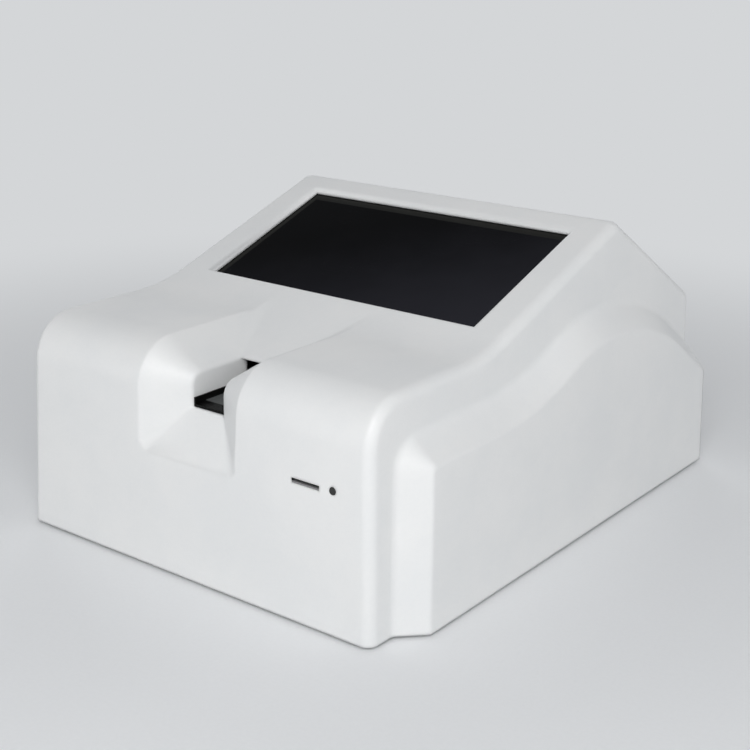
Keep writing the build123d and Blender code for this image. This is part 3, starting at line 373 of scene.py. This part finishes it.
@dataclass(frozen=True)
class TrayPlastic(Finish):
    """Black moulded plastic whose up-facing floor behind the card bed's front is painted paler as
    painted light, streaked by a stretched noise.
    """

    colour: Colour
    shade: Colour
    painted_light_bed: Colour
    bed_front: float
    bed_top: float
    depth: float = 0.015 * MM
    sheen: float = 0.12

    def paint(self, paint: Paint) -> bpy.types.Material:
        """Paints the finish's nodes.

        Args:
            paint: The painter of the empty material.

        Returns:
            The painted material.
        """
        speck = paint.noise(1.2 * MM, 3.0, 0.65)
        streaks = paint.noise(0.8 * MM, 4.0, 0.7, paint.place((1.0, 0.06, 1.0)))
        # Painted light: the floor's up-facing top behind the bed's front is painted paler.
        behind = paint.axis("Y").ramp(self.bed_front, self.bed_front + 0.5 * MM)
        low = paint.axis("Z") < self.bed_top
        plain = paint.mix(speck.ramp(0.3, 0.8), self.colour, self.shade)
        colour = paint.mix(behind * low * streaks.ramp(0.2, 0.5, 0.75, 1.0), plain, self.painted_light_bed)
        return paint.finish({
            "Base Color": colour,
            "Roughness": speck.ramp(0.3, 0.7, 0.34, 0.46),
            "Specular IOR Level": self.sheen,
            "Normal": paint.bump(speck * 0.7 + streaks * 0.3, self.depth),
        })


@dataclass(frozen=True)
class LippedPlastic(Finish):
    """Black moulded plastic whose lower lip is painted grey as painted light falling on it."""

    body: Colour
    painted_light_lip: Colour
    level: float
    depth: float = 0.02 * MM
    sheen: float = 0.25

    def paint(self, paint: Paint) -> bpy.types.Material:
        """Paints the finish's nodes.

        Args:
            paint: The painter of the empty material.

        Returns:
            The painted material.
        """
        speck = paint.noise(0.9 * MM, 3.0, 0.6)
        # Painted light: everything below the level is painted grey.
        below = paint.axis("Z") < self.level
        colour = paint.mix(below * (1.0 - speck * 0.2), self.body, self.painted_light_lip)
        return paint.finish({
            "Base Color": colour,
            "Roughness": speck.ramp(0.3, 0.7, 0.5, 0.65),
            "Specular IOR Level": self.sheen,
            "Normal": paint.bump(speck, self.depth),
        })


@dataclass(frozen=True)
class ScreenGlass(Finish):
    """Black-backed touch glass with a dark frame round its picture area, painted wider at top and
    left as a painted reflection of the recess wall, and a painted reflection lightening the picture
    towards its lower right.
    """

    left: float
    right: float
    low: float
    high: float
    tilt: float
    # frame is the band's grey, partly a painted reflection of the recess wall; dark is the
    # picture's black; light is the grey of the picture's painted reflection.
    frame: Colour
    dark: Colour
    light: Colour
    frame_blur: float = 0.7 * MM
    depth: float = 0.02 * MM
    sheen: float = 0.04

    def paint(self, paint: Paint) -> bpy.types.Material:
        """Paints the finish's nodes.

        Args:
            paint: The painter of the empty material.

        Returns:
            The painted material.
        """
        here = paint.node("ShaderNodeTexCoord", result="Object")
        turned = paint.node("ShaderNodeMapping", {"vector_type": "TEXTURE"}, {
            "Vector": here, "Rotation": (self.tilt, 0, 0)})
        across, along = (
            paint.node("ShaderNodeSeparateXYZ", sockets={0: turned}, result=axis) for axis in "XY")
        soft = self.frame_blur
        # inside is the picture area; the band round it is the frame, wider at left and top as a
        # painted reflection of the recess wall.
        inside = (
            across.ramp(self.left, self.left + soft) * across.ramp(self.right, self.right - soft)
            * along.ramp(self.low, self.low + soft) * along.ramp(self.high, self.high - soft))
        width, length = self.right - self.left, self.high - self.low
        # Painted reflection: the picture area is painted lighter towards its lower right, wobbled
        # by a noise.
        painted_reflection_slope = (across - self.left) * (0.6 / width) + (self.high - along) * (0.4 / length)
        haze = paint.noise(45 * MM, 3.0) - 0.5
        painted_reflection_share = (painted_reflection_slope + haze * 0.2).ramp(0.25, 1.1)
        colour = paint.mix(inside, self.frame, paint.mix(painted_reflection_share, self.dark, self.light))
        smear = paint.noise(25 * MM, 5.0, 0.65)
        return paint.finish({
            "Base Color": colour,
            "Roughness": smear.ramp(0.35, 0.8, 0.1, 0.2),
            "Specular IOR Level": self.sheen,
            "Normal": paint.bump(paint.noise(30 * MM, 1.0), self.depth),
        })


class Grain(Enum):
    """How a metal surface was worked."""

    BRUSHED = "brushed"
    TURNED = "turned"
    MILLED = "milled"
    SHEET = "sheet"


@dataclass(frozen=True)
class Metal(Finish):
    """Bare or plated metal with the marks of how it was worked."""

    colour: Colour
    shade: Colour
    grain: Grain
    roughness: float = 0.32
    axis: int = 0
    depth: float = 0.006 * MM

    def _marks(self, paint: Paint) -> Value:
        """Gives the height of the work marks.

        Args:
            paint: The painter of the material.

        Returns:
            The height from 0 to 1.
        """
        if self.grain is Grain.SHEET:
            return paint.cells(5 * MM, "F1", "Color")
        stretch = [1.0, 1.0, 1.0]
        stretch[self.axis] = 0.03 if self.grain is Grain.BRUSHED else 0.2
        size = 0.35 * MM if self.grain is not Grain.MILLED else 0.8 * MM
        return paint.noise(size, 3.0, 0.6, paint.place(tuple(stretch)))

    def paint(self, paint: Paint) -> bpy.types.Material:
        """Paints the finish's nodes.

        Args:
            paint: The painter of the empty material.

        Returns:
            The painted material.
        """
        marks = self._marks(paint)
        stain = paint.noise(12 * MM, 4.0, 0.6)
        colour = paint.mix(marks * 0.5 + stain * 0.5, self.colour, self.shade)
        rough = stain.ramp(0.3, 0.75, self.roughness - 0.08, self.roughness + 0.12)
        return paint.finish({
            "Base Color": colour,
            "Metallic": 1.0,
            "Roughness": rough + marks * 0.05,
            "Normal": paint.bump(marks, self.depth),
        })


@dataclass(frozen=True)
class PortShell(Finish):
    """Tinned port shell whose mouth ends in a dark insulator."""

    colour: Colour
    shade: Colour
    insulator: Colour
    face: float
    rim: float = 0.7 * MM
    depth: float = 0.006 * MM

    def paint(self, paint: Paint) -> bpy.types.Material:
        """Paints the finish's nodes.

        Args:
            paint: The painter of the empty material.

        Returns:
            The painted material.
        """
        marks = paint.noise(0.4 * MM, 3.0, 0.6, paint.place((0.1, 1.0, 1.0)))
        deep = paint.axis("Y").ramp(self.face - self.rim, self.face - 1.6 * self.rim)
        tin = paint.mix(marks, self.colour, self.shade)
        return paint.finish({
            "Base Color": paint.mix(deep, tin, self.insulator),
            "Metallic": 1.0 - deep,
            "Roughness": marks * 0.1 + deep * 0.25 + 0.22,
            "Normal": paint.bump(marks, self.depth),
        })


@dataclass(frozen=True)
class PowderCoat(Finish):
    """Powder-coated sheet with its orange-peel surface."""

    colour: Colour
    shade: Colour
    depth: float = 0.03 * MM

    def paint(self, paint: Paint) -> bpy.types.Material:
        """Paints the finish's nodes.

        Args:
            paint: The painter of the empty material.

        Returns:
            The painted material.
        """
        peel = paint.noise(0.9 * MM, 2.0, 0.5)
        cloud = paint.noise(30 * MM, 3.0)
        colour = paint.mix(cloud.ramp(0.3, 0.7) * 0.6 + peel * 0.4, self.colour, self.shade)
        return paint.finish({
            "Base Color": colour,
            "Roughness": peel.ramp(0.3, 0.7, 0.42, 0.56),
            "Normal": paint.bump(peel, self.depth),
        })


@dataclass(frozen=True)
class CircuitBoard(Finish):
    """Solder-masked laminate with tracks and plated pads."""

    mask: Colour
    track: Colour
    pad: Colour
    pitch: float = 1.27 * MM
    track_share: float = 0.4
    depth: float = 0.03 * MM

    def paint(self, paint: Paint) -> bpy.types.Material:
        """Paints the finish's nodes.

        Args:
            paint: The painter of the empty material.

        Returns:
            The painted material.
        """
        across = paint.axis("X") + (paint.noise(9 * MM, 0.0) > 0.5) * (self.pitch / 2)
        along = paint.axis("Y") + (paint.noise(7 * MM, 0.0) > 0.52) * (self.pitch / 2)
        row = (across % self.pitch) < self.pitch * self.track_share
        line = (along % self.pitch) < self.pitch * self.track_share
        zone = paint.noise(16 * MM, 1.0)
        tracks = row * (zone > 0.5) + line * (zone < 0.46)
        dots = (paint.cells(2.6 * MM) < 0.16) * (paint.noise(11 * MM, 0.0) > 0.5)
        plain = paint.mix(tracks.ramp(0, 1, 0, 0.8), self.mask, self.track)
        colour = paint.mix(dots, plain, self.pad)
        return paint.finish({
            "Base Color": colour,
            "Metallic": dots * 0.9,
            "Roughness": paint.noise(14 * MM, 3.0).ramp(0.3, 0.7, 0.28, 0.42),
            "Normal": paint.bump(tracks.ramp(0, 1) + dots, self.depth),
        })


@dataclass(frozen=True)
class Elastic(Finish):
    """Matt rubber or foam with fine pores."""

    colour: Colour
    shade: Colour
    pore: float = 0.4 * MM
    depth: float = 0.04 * MM
    sheen: float = 0.3

    def paint(self, paint: Paint) -> bpy.types.Material:
        """Paints the finish's nodes.

        Args:
            paint: The painter of the empty material.

        Returns:
            The painted material.
        """
        pores = paint.cells(self.pore)
        dust = paint.noise(4 * MM, 4.0, 0.65)
        return paint.finish({
            "Base Color": paint.mix(dust.ramp(0.45, 0.8, 0.0, 0.7), self.colour, self.shade),
            "Roughness": dust.ramp(0.3, 0.8, 0.75, 0.92),
            "Specular IOR Level": self.sheen,
            "Normal": paint.bump(pores, self.depth),
        })


@dataclass(frozen=True)
class Clear(Finish):
    """Clear resin or glass."""

    colour: Colour
    roughness: float = 0.08
    through: float = 0.9
    haze: Colour = tone(250, 250, 250)
    refraction: float = 1.49
    depth: float = 0.004 * MM

    def paint(self, paint: Paint) -> bpy.types.Material:
        """Paints the finish's nodes.

        Args:
            paint: The painter of the empty material.

        Returns:
            The painted material.
        """
        swirl = paint.noise(1.5 * MM, 3.0)
        return paint.finish({
            "Base Color": paint.mix(swirl.ramp(0.3, 0.7, 0.0, 0.2), self.colour, self.haze),
            "Roughness": swirl.ramp(0.3, 0.7, self.roughness, self.roughness + 0.06),
            "Transmission Weight": self.through,
            "IOR": self.refraction,
            "Normal": paint.bump(swirl, self.depth),
        })


COVER = MouldedPlastic(
    "cover_plastic", tone(238, 238, 237), tone(232, 233, 233), 0.42, soft_edge=2.4 * MM)
# The tray's black, its speckle, and the paler grey of the painted light on its floor.
TRAY = TrayPlastic(
    "tray_plastic", tone(8, 8, 8), tone(15, 15, 15), tone(96, 98, 98), -136.9 * MM, 90.5 * MM)
SOCKET = MouldedPlastic(
    "socket_plastic", tone(34, 34, 35), tone(46, 46, 48), 0.5, 0.35 * MM, 0.015 * MM)
# The socket's black and the grey of the painted light on its lower lip, below the given level.
SLOT_BODY = LippedPlastic("slot_plastic", tone(6, 6, 7), tone(150, 149, 150), 74.3 * MM)
CHIP = MouldedPlastic(
    "chip_plastic", tone(36, 37, 39), tone(50, 50, 52), 0.55, 0.3 * MM, 0.015 * MM)
ROCKER = MouldedPlastic(
    "rocker_plastic", tone(24, 24, 25), tone(32, 32, 33), 0.28, 0.6 * MM, 0.004 * MM)
GEAR = MouldedPlastic(
    "gear_plastic", tone(232, 228, 214), tone(222, 217, 200), 0.35, 0.6 * MM, 0.004 * MM)
BASE = PowderCoat("base_coat", tone(196, 198, 199), tone(184, 186, 188))
PANEL = PowderCoat("panel_coat", tone(148, 150, 152), tone(136, 138, 141))
SCREW = Metal("screw_steel", tone(205, 206, 208), tone(176, 178, 182), Grain.TURNED, 0.3, 2)
CASE = Metal("supply_case", tone(200, 202, 204), tone(178, 180, 184), Grain.SHEET, 0.38)
BRACKET = Metal("bracket_steel", tone(192, 194, 197), tone(168, 171, 175), Grain.SHEET, 0.4)
DISPLAY = Metal("display_case", tone(205, 206, 208), tone(182, 184, 188), Grain.BRUSHED, 0.34)
SHAFT = Metal("turned_steel", tone(210, 210, 212), tone(184, 185, 188), Grain.TURNED, 0.22)
MOTOR = Metal("motor_steel", tone(176, 178, 182), tone(150, 152, 158), Grain.TURNED, 0.34)
BRONZE = Metal("bush_bronze", tone(202, 160, 98), tone(160, 118, 66), Grain.TURNED, 0.4)
BRASS = Metal("post_brass", tone(214, 196, 150), tone(186, 164, 116), Grain.TURNED, 0.28, 2)
ALLOY = Metal("machined_aluminium", tone(214, 216, 218), tone(192, 195, 198), Grain.MILLED, 0.34, 1)
ANODISED = Metal("black_anodised", tone(44, 44, 47), tone(30, 30, 33), Grain.MILLED, 0.5, 1)
GOLD = Metal("contact_gold", tone(226, 190, 112), tone(202, 162, 84), Grain.BRUSHED, 0.25, 1)
BOARD = CircuitBoard("circuit_board", tone(20, 84, 52), tone(34, 112, 68), tone(210, 196, 150))
RUBBER = Elastic("foot_rubber", tone(36, 36, 37), tone(70, 70, 70))
FOAM = Elastic("gasket_foam", tone(30, 30, 32), tone(48, 48, 50), 0.7 * MM)
SMOKED = MouldedPlastic(
    "smoked_lens", tone(58, 58, 57), tone(66, 66, 65), 0.6, 0.3 * MM, 0.02 * MM, 0.15)
RESIN = Clear("clear_resin", tone(226, 232, 236), 0.08, 0.85)
LENS = Clear("lens_glass", tone(246, 250, 252), 0.02, 1.0)

# Modelling helpers


def piece_from(
    name: str,
    shape: bmesh.types.BMesh,
    finish: Finish,
    body: str,
    stands_for: Sequence[str] = (),
) -> bpy.types.Object:
    """Makes a finished piece of a mesh and hands it to its body.

    Args:
        name: The piece's name.
        shape: Its mesh, set in place. The call frees it.
        finish: The finish that paints it.
        body: The CAD body that carries it.
        stands_for: The CAD nodes that it replaces.

    Returns:
        The new object.
    """
    mesh = bpy.data.meshes.new(name)
    shape.to_mesh(mesh)
    shape.free()
    made = bpy.data.objects.new(name, mesh)
    bpy.context.scene.collection.objects.link(made)
    mesh.materials.append(finish.material())
    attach(made, body)
    if stands_for:
        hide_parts(*stands_for)
    log.info("piece %s: %d faces on %s", name, len(mesh.polygons), body)
    return made


def merged_copy(node: str) -> bmesh.types.BMesh:
    """Copies a CAD node's mesh with its doubles merged and flat areas joined.

    Args:
        node: The CAD node.

    Returns:
        The copy.
    """
    shape = bmesh.new()
    shape.from_mesh(NODES[node].data)
    bmesh.ops.remove_doubles(shape, verts=shape.verts, dist=MERGE_DISTANCE)
    bmesh.ops.dissolve_limit(shape, angle_limit=FLAT_ANGLE, verts=shape.verts, edges=shape.edges)
    return shape


def round_edges(
    made: bpy.types.Object, width: float, limit: str = "ANGLE", segments: int = 2
) -> None:
    """Rounds a piece's edges and shades it smooth.

    Args:
        made: The piece.
        width: The width of the widest rounding in metres.
        limit: Whether an edge is chosen by its ANGLE or its WEIGHT.
        segments: The faces across the rounding.
    """
    bevel = made.modifiers.new("rounded_edges", "BEVEL")
    bevel.width = width
    bevel.segments = segments
    bevel.limit_method = limit
    bevel.angle_limit = ROUNDED_ANGLE
    bevel.use_clamp_overlap = limit == "ANGLE"
    for polygon in made.data.polygons:
        polygon.use_smooth = True
    normal = made.modifiers.new("even_shading", "WEIGHTED_NORMAL")
    normal.keep_sharp = True
    normal.weight = SHADING_WEIGHT


def dress(finish: Finish, nodes: Sequence[str]) -> None:
    """Gives CAD nodes a finish in place of their plain colour.

    Args:
        finish: The finish.
        nodes: The CAD nodes.
    """
    for node in nodes:
        for holder in NODES[node].material_slots:
            holder.material = finish.material()
        log.info("node %s: %s", node, finish.name)


# Sub-assemblies


@dataclass(frozen=True)
class EdgeZone:
    """A box in millimetres whose open edges get one rounding, if they turn by enough degrees."""

    low: tuple[float, float, float]
    high: tuple[float, float, float]
    width: float
    least_angle: float = 20.0

    def holds(self, place: Vector, angle: float) -> bool:
        """Tells whether an edge belongs to the zone.

        Args:
            place: The edge's middle in millimetres.
            angle: The angle between its faces in degrees.

        Returns:
            True for an edge of the zone.
        """
        inside = all(low < level < high for low, level, high in zip(self.low, place, self.high))
        return inside and angle > self.least_angle


@dataclass
class Cover:
    """The white moulded cover, with widths in millimetres and angles in degrees."""

    widest: float = 1.6
    segments: int = 4
    sharp_angle: float = 28.0
    probe_lift: float = 0.3
    zones: tuple[EdgeZone, ...] = (
        EdgeZone((-12.0, -147.0, 88.7), (12.0, -110.0, 108.0), 1.6),  # card channel
        EdgeZone((-98.0, -48.0, 118.0), (98.0, 58.0, 170.0), 0.9, 40.0),  # screen recess
        EdgeZone((-134.0, 164.0, 8.0), (134.0, 166.0, 62.0), 0.5, 60.0),  # rear opening
    )

    def build(self) -> None:
        """Builds the cover's skin and dresses what closes it from below."""
        shape = merged_copy("housing")
        self._mark_edges(shape)
        skin = piece_from("cover_shell", shape, COVER, "case", ["housing"])
        round_edges(skin, self.widest * MM, "WEIGHT", self.segments)
        dress(BASE, ["base_plate"])
        dress(RUBBER, ["rubber_feet"])
        dress(SCREW, ["housing_screws", "reader_foot_screws", "board_foot_screws", "supply_screws"])

    def _mark_edges(self, shape: bmesh.types.BMesh) -> None:
        """Weighs the edges that are rounded and keeps the other sharp ones crisp.

        Args:
            shape: The cover's mesh.
        """
        shape.normal_update()
        tree = BVHTree.FromBMesh(shape)
        weights = shape.edges.layers.float.new("bevel_weight_edge")
        for edge in shape.edges:
            angle = degrees(edge.calc_face_angle_signed(0.0))
            middle = (edge.verts[0].co + edge.verts[1].co) / 2
            outward = (edge.link_faces[0].normal + edge.link_faces[1].normal).normalized()
            zone = next((zone for zone in self.zones if zone.holds(middle / MM, angle)), None)
            if zone and tree.ray_cast(middle + outward * self.probe_lift * MM, outward)[0] is None:
                edge[weights] = zone.width / self.widest
            elif abs(angle) > self.sharp_angle:
                edge.smooth = False


@dataclass
class TouchScreen:
    """The touch glass with what is behind it."""

    tilt: float = radians(19.4)
    window_half: float = 91.8 * MM
    window_front: Vector = field(default_factory=lambda: Vector((0, -41.6, 126.8)) * MM)
    window_rear: Vector = field(default_factory=lambda: Vector((0, 52.0, 159.9)) * MM)
    # The frame band's widths: its wider left and top sides hold a painted reflection of the recess
    # wall, its right and lower sides are thin.
    left_frame_and_reflection: float = 3.2 * MM
    top_frame_and_reflection: float = 4.9 * MM
    low_frame: float = 0.4 * MM

    def build(self) -> None:
        """Dresses the glass, the gasket and the display."""
        turn = Matrix.Rotation(-self.tilt, 3, "X")
        glass = ScreenGlass(
            "screen_glass",
            self.left_frame_and_reflection - self.window_half,
            self.window_half - self.low_frame,
            (turn @ self.window_front).y + self.low_frame,
            (turn @ self.window_rear).y - self.top_frame_and_reflection,
            self.tilt,
            # The frame's grey, partly a painted reflection of the recess wall; the picture's black;
            # the lighter grey of the picture's painted reflection.
            tone(36, 36, 34),
            tone(2, 2, 3),
            tone(42, 42, 48),
        )
        dress(glass, ["touch_glass"])
        dress(FOAM, ["screen_gasket"])
        dress(DISPLAY, ["lcd_module"])
        dress(BRACKET, ["lcd_bracket"])
        dress(BOARD, ["display_board"])
        dress(SCREW, ["lcd_screws", "display_screws"])


@dataclass
class CardTray:
    """The card tray, its rack and its drive."""

    edge: float = 0.3 * MM

    def build(self) -> None:
        """Builds the tray and dresses the drive."""
        shape = merged_copy("card_tray")
        tray = piece_from("tray_carrier", shape, TRAY, "tray", ["card_tray"])
        round_edges(tray, self.edge)
        dress(GEAR, ["tray_rack", "tray_pinion"])
        dress(SHAFT, ["pinion_shaft"])
        dress(BRONZE, ["shaft_bushes"])
        dress(MOTOR, ["tray_motor"])
        dress(SCREW, ["rack_screws", "motor_screws"])
        dress(SOCKET, ["tray_sensor"])


@dataclass
class Reader:
    """The guide rails, the heater and the optical head."""

    def build(self) -> None:
        """Dresses the reader."""
        dress(ALLOY, ["guide_rails", "heater_block"])
        dress(BRACKET, ["reader_base"])
        dress(BRASS, ["reader_posts"])
        dress(ANODISED, ["optics_block"])
        dress(RESIN, ["light_source"])
        dress(SHAFT, ["light_detector", "temperature_probe"])
        dress(LENS, ["focusing_lenses"])
        dress(BOARD, ["detector_board"])
        dress(SCREW, ["rail_screws", "reader_screws", "optics_screws", "heater_screws"])


@dataclass
class CodeCard:
    """The code card slot and the indicator beside it."""

    edge: float = 0.12 * MM

    def build(self) -> None:
        """Builds the socket and dresses the indicator."""
        shape = merged_copy("code_card_socket")
        socket = piece_from(
            "code_socket", shape, SLOT_BODY, "case", ["code_card_socket"])
        round_edges(socket, self.edge)
        dress(BOARD, ["code_board"])
        dress(SCREW, ["code_board_screws"])
        dress(SMOKED, ["indicator_lens"])
        dress(RESIN, ["indicator_lamp"])


@dataclass
class Rear:
    """The rear panel with its sockets and the power switch."""

    edge: float = 0.2 * MM

    def build(self) -> None:
        """Dresses the panel and its ports, and builds the inlet and the switch."""
        dress(PANEL, ["rear_panel"])
        dress(SCREW, ["rear_panel_screws", "inlet_screws"])
        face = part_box("rear_panel")[1].y
        port = PortShell(
            "port_shell", tone(216, 216, 217), tone(192, 193, 195), tone(18, 18, 19), face)
        dress(port, ["usb_port", "network_port", "serial_port"])
        dress(GOLD, ["inlet_pins"])
        for name, node, finish, body, slot in (
            ("inlet_body", "power_inlet", SOCKET, "case", "dark_plastic"),
            ("switch_body", "switch_frame", SOCKET, "case", "dark_plastic"),
            ("switch_rocker", "power_rocker", ROCKER, "rocker", "rocker_plastic"),
        ):
            round_edges(piece_from(name, merged_copy(node), finish, body, [node]), self.edge)


@dataclass
class Electronics:
    """The main board and the power supply."""

    def build(self) -> None:
        """Dresses the boards and the supply."""
        dress(BOARD, ["main_board"])
        dress(CHIP, ["board_chips", "buzzer"])
        dress(BRASS, ["board_posts"])
        dress(SCREW, ["board_screws"])
        dress(CASE, ["power_supply"])


@dataclass(frozen=True)
class SoftLamp:
    """A large round lamp aimed at the floor's middle, set in degrees, metres and watts."""

    name: str
    azimuth: float
    elevation: float
    distance: float
    size: float
    power: float
    mirrored: bool = True

    def build(self) -> None:
        """Hangs the lamp, which glossy surfaces mirror or not."""
        data = bpy.data.lights.new(self.name, "AREA")
        data.shape = "DISK"
        data.size = self.size
        data.energy = self.power
        lamp = bpy.data.objects.new(self.name, data)
        swing = Matrix.Rotation(radians(self.azimuth), 4, "Z")
        lift = Matrix.Rotation(radians(90 - self.elevation), 4, "X")
        lamp.matrix_world = swing @ lift @ Matrix.Translation((0, 0, self.distance))
        lamp.visible_glossy = self.mirrored
        bpy.context.scene.collection.objects.link(lamp)


@dataclass
class Studio:
    """Floor, light and camera."""

    eye: Vector = field(default_factory=lambda: Vector((479.72, -634.09, 333.59)) * MM)
    yaw: float = radians(37.329)
    pitch: float = radians(18.281)
    roll: float = radians(0.675)
    lens: float = 67.9
    sensor: float = 36.0
    floor_size: float = 40.0
    fade_start: float = 0.24
    fade_end: float = 0.75
    fibre_shade: float = 0.985
    wall_height: float = 0.1
    ceiling_height: float = 0.7
    floor: Colour = tone(240, 241, 242)
    far_floor: Colour = tone(212, 214, 216)
    backdrop: Colour = tone(224, 226, 228)
    ceiling: Colour = tone(128, 130, 133)
    lamps: tuple[SoftLamp, ...] = (
        SoftLamp("key", 36.0, 38.0, 1.4, 0.85, 9.3),
        SoftLamp("fill", 222.0, 30.0, 2.2, 1.4, 7.5, mirrored=False),
    )

    def build(self) -> None:
        """Builds the studio round the object."""
        self._make_camera()
        self._make_floor()
        self._make_world()
        for lamp in self.lamps:
            lamp.build()

    def _make_camera(self) -> None:
        """Sets the camera at the photograph's place."""
        data = bpy.data.cameras.new("camera")
        data.lens = self.lens
        data.sensor_width = self.sensor
        camera = bpy.data.objects.new("camera", data)
        turn = Matrix.Rotation(self.yaw, 4, "Z") @ Matrix.Rotation(pi / 2 - self.pitch, 4, "X")
        camera.matrix_world = (
            Matrix.Translation(self.eye) @ turn @ Matrix.Rotation(self.roll, 4, "Z"))
        bpy.context.scene.collection.objects.link(camera)
        bpy.context.scene.camera = camera

    def _make_floor(self) -> None:
        """Lays a pale floor that keeps the object's shadow and fades evenly into the distance."""
        shape = bmesh.new()
        bmesh.ops.create_grid(shape, x_segments=1, y_segments=1, size=self.floor_size / 2)
        mesh = bpy.data.meshes.new("floor")
        shape.to_mesh(mesh)
        shape.free()
        floor = bpy.data.objects.new("floor", mesh)
        bpy.context.scene.collection.objects.link(floor)
        paint = Paint(bpy.data.materials.new("floor_paper"))
        reach = paint.node(
            "ShaderNodeVectorMath", {"operation": "LENGTH"}, {0: paint.place()}, "Value")
        fibre = paint.noise(2 * MM, 3.0).ramp(0.3, 0.7)
        shaded = tuple(level * self.fibre_shade for level in self.floor[:3]) + (1.0,)
        plain = paint.mix(fibre, self.floor, shaded)
        paper = paint.node("ShaderNodeBsdfDiffuse", sockets={"Color": plain})
        light = paint.node("ShaderNodeEmission", sockets={"Color": self.far_floor, "Strength": 1.0})
        rays = ("Is Camera Ray", "Is Glossy Ray", "Is Transmission Ray")
        seen, glossy, through = (paint.node("ShaderNodeLightPath", result=ray) for ray in rays)
        share = reach.ramp(self.fade_start, self.fade_end) * (seen + glossy + through).ramp(0, 1)
        surface = paint.node("ShaderNodeMixShader", sockets={0: share, 1: paper, 2: light})
        paint.node("ShaderNodeOutputMaterial", sockets={"Surface": surface})
        mesh.materials.append(paint.holder)

    def _make_world(self) -> None:
        """Surrounds the studio with pale walls under a dimmer ceiling."""
        world = bpy.data.worlds.new("studio")
        bpy.context.scene.world = world
        paint = Paint(world)
        where = paint.node("ShaderNodeTexCoord", result="Generated")
        height = paint.node("ShaderNodeSeparateXYZ", sockets={0: where}, result="Z")
        rise = height.ramp(self.wall_height, self.ceiling_height)
        colour = paint.mix(rise, self.backdrop, self.ceiling)
        back = paint.node("ShaderNodeBackground", sockets={"Color": colour})
        paint.node("ShaderNodeOutputWorld", sockets={"Surface": back})


def main() -> None:
    """Builds every sub-assembly in order, then the studio."""
    logging.basicConfig(level=logging.INFO, format="%(message)s")
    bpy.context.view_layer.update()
    for part in (
        Cover(), TouchScreen(), CardTray(), Reader(), CodeCard(), Rear(), Electronics(), Studio()
    ):
        part.build()
        log.info("built %s", type(part).__name__)
    bpy.context.scene.view_settings.view_transform = "Standard"


if __name__ == "__main__":
    main()
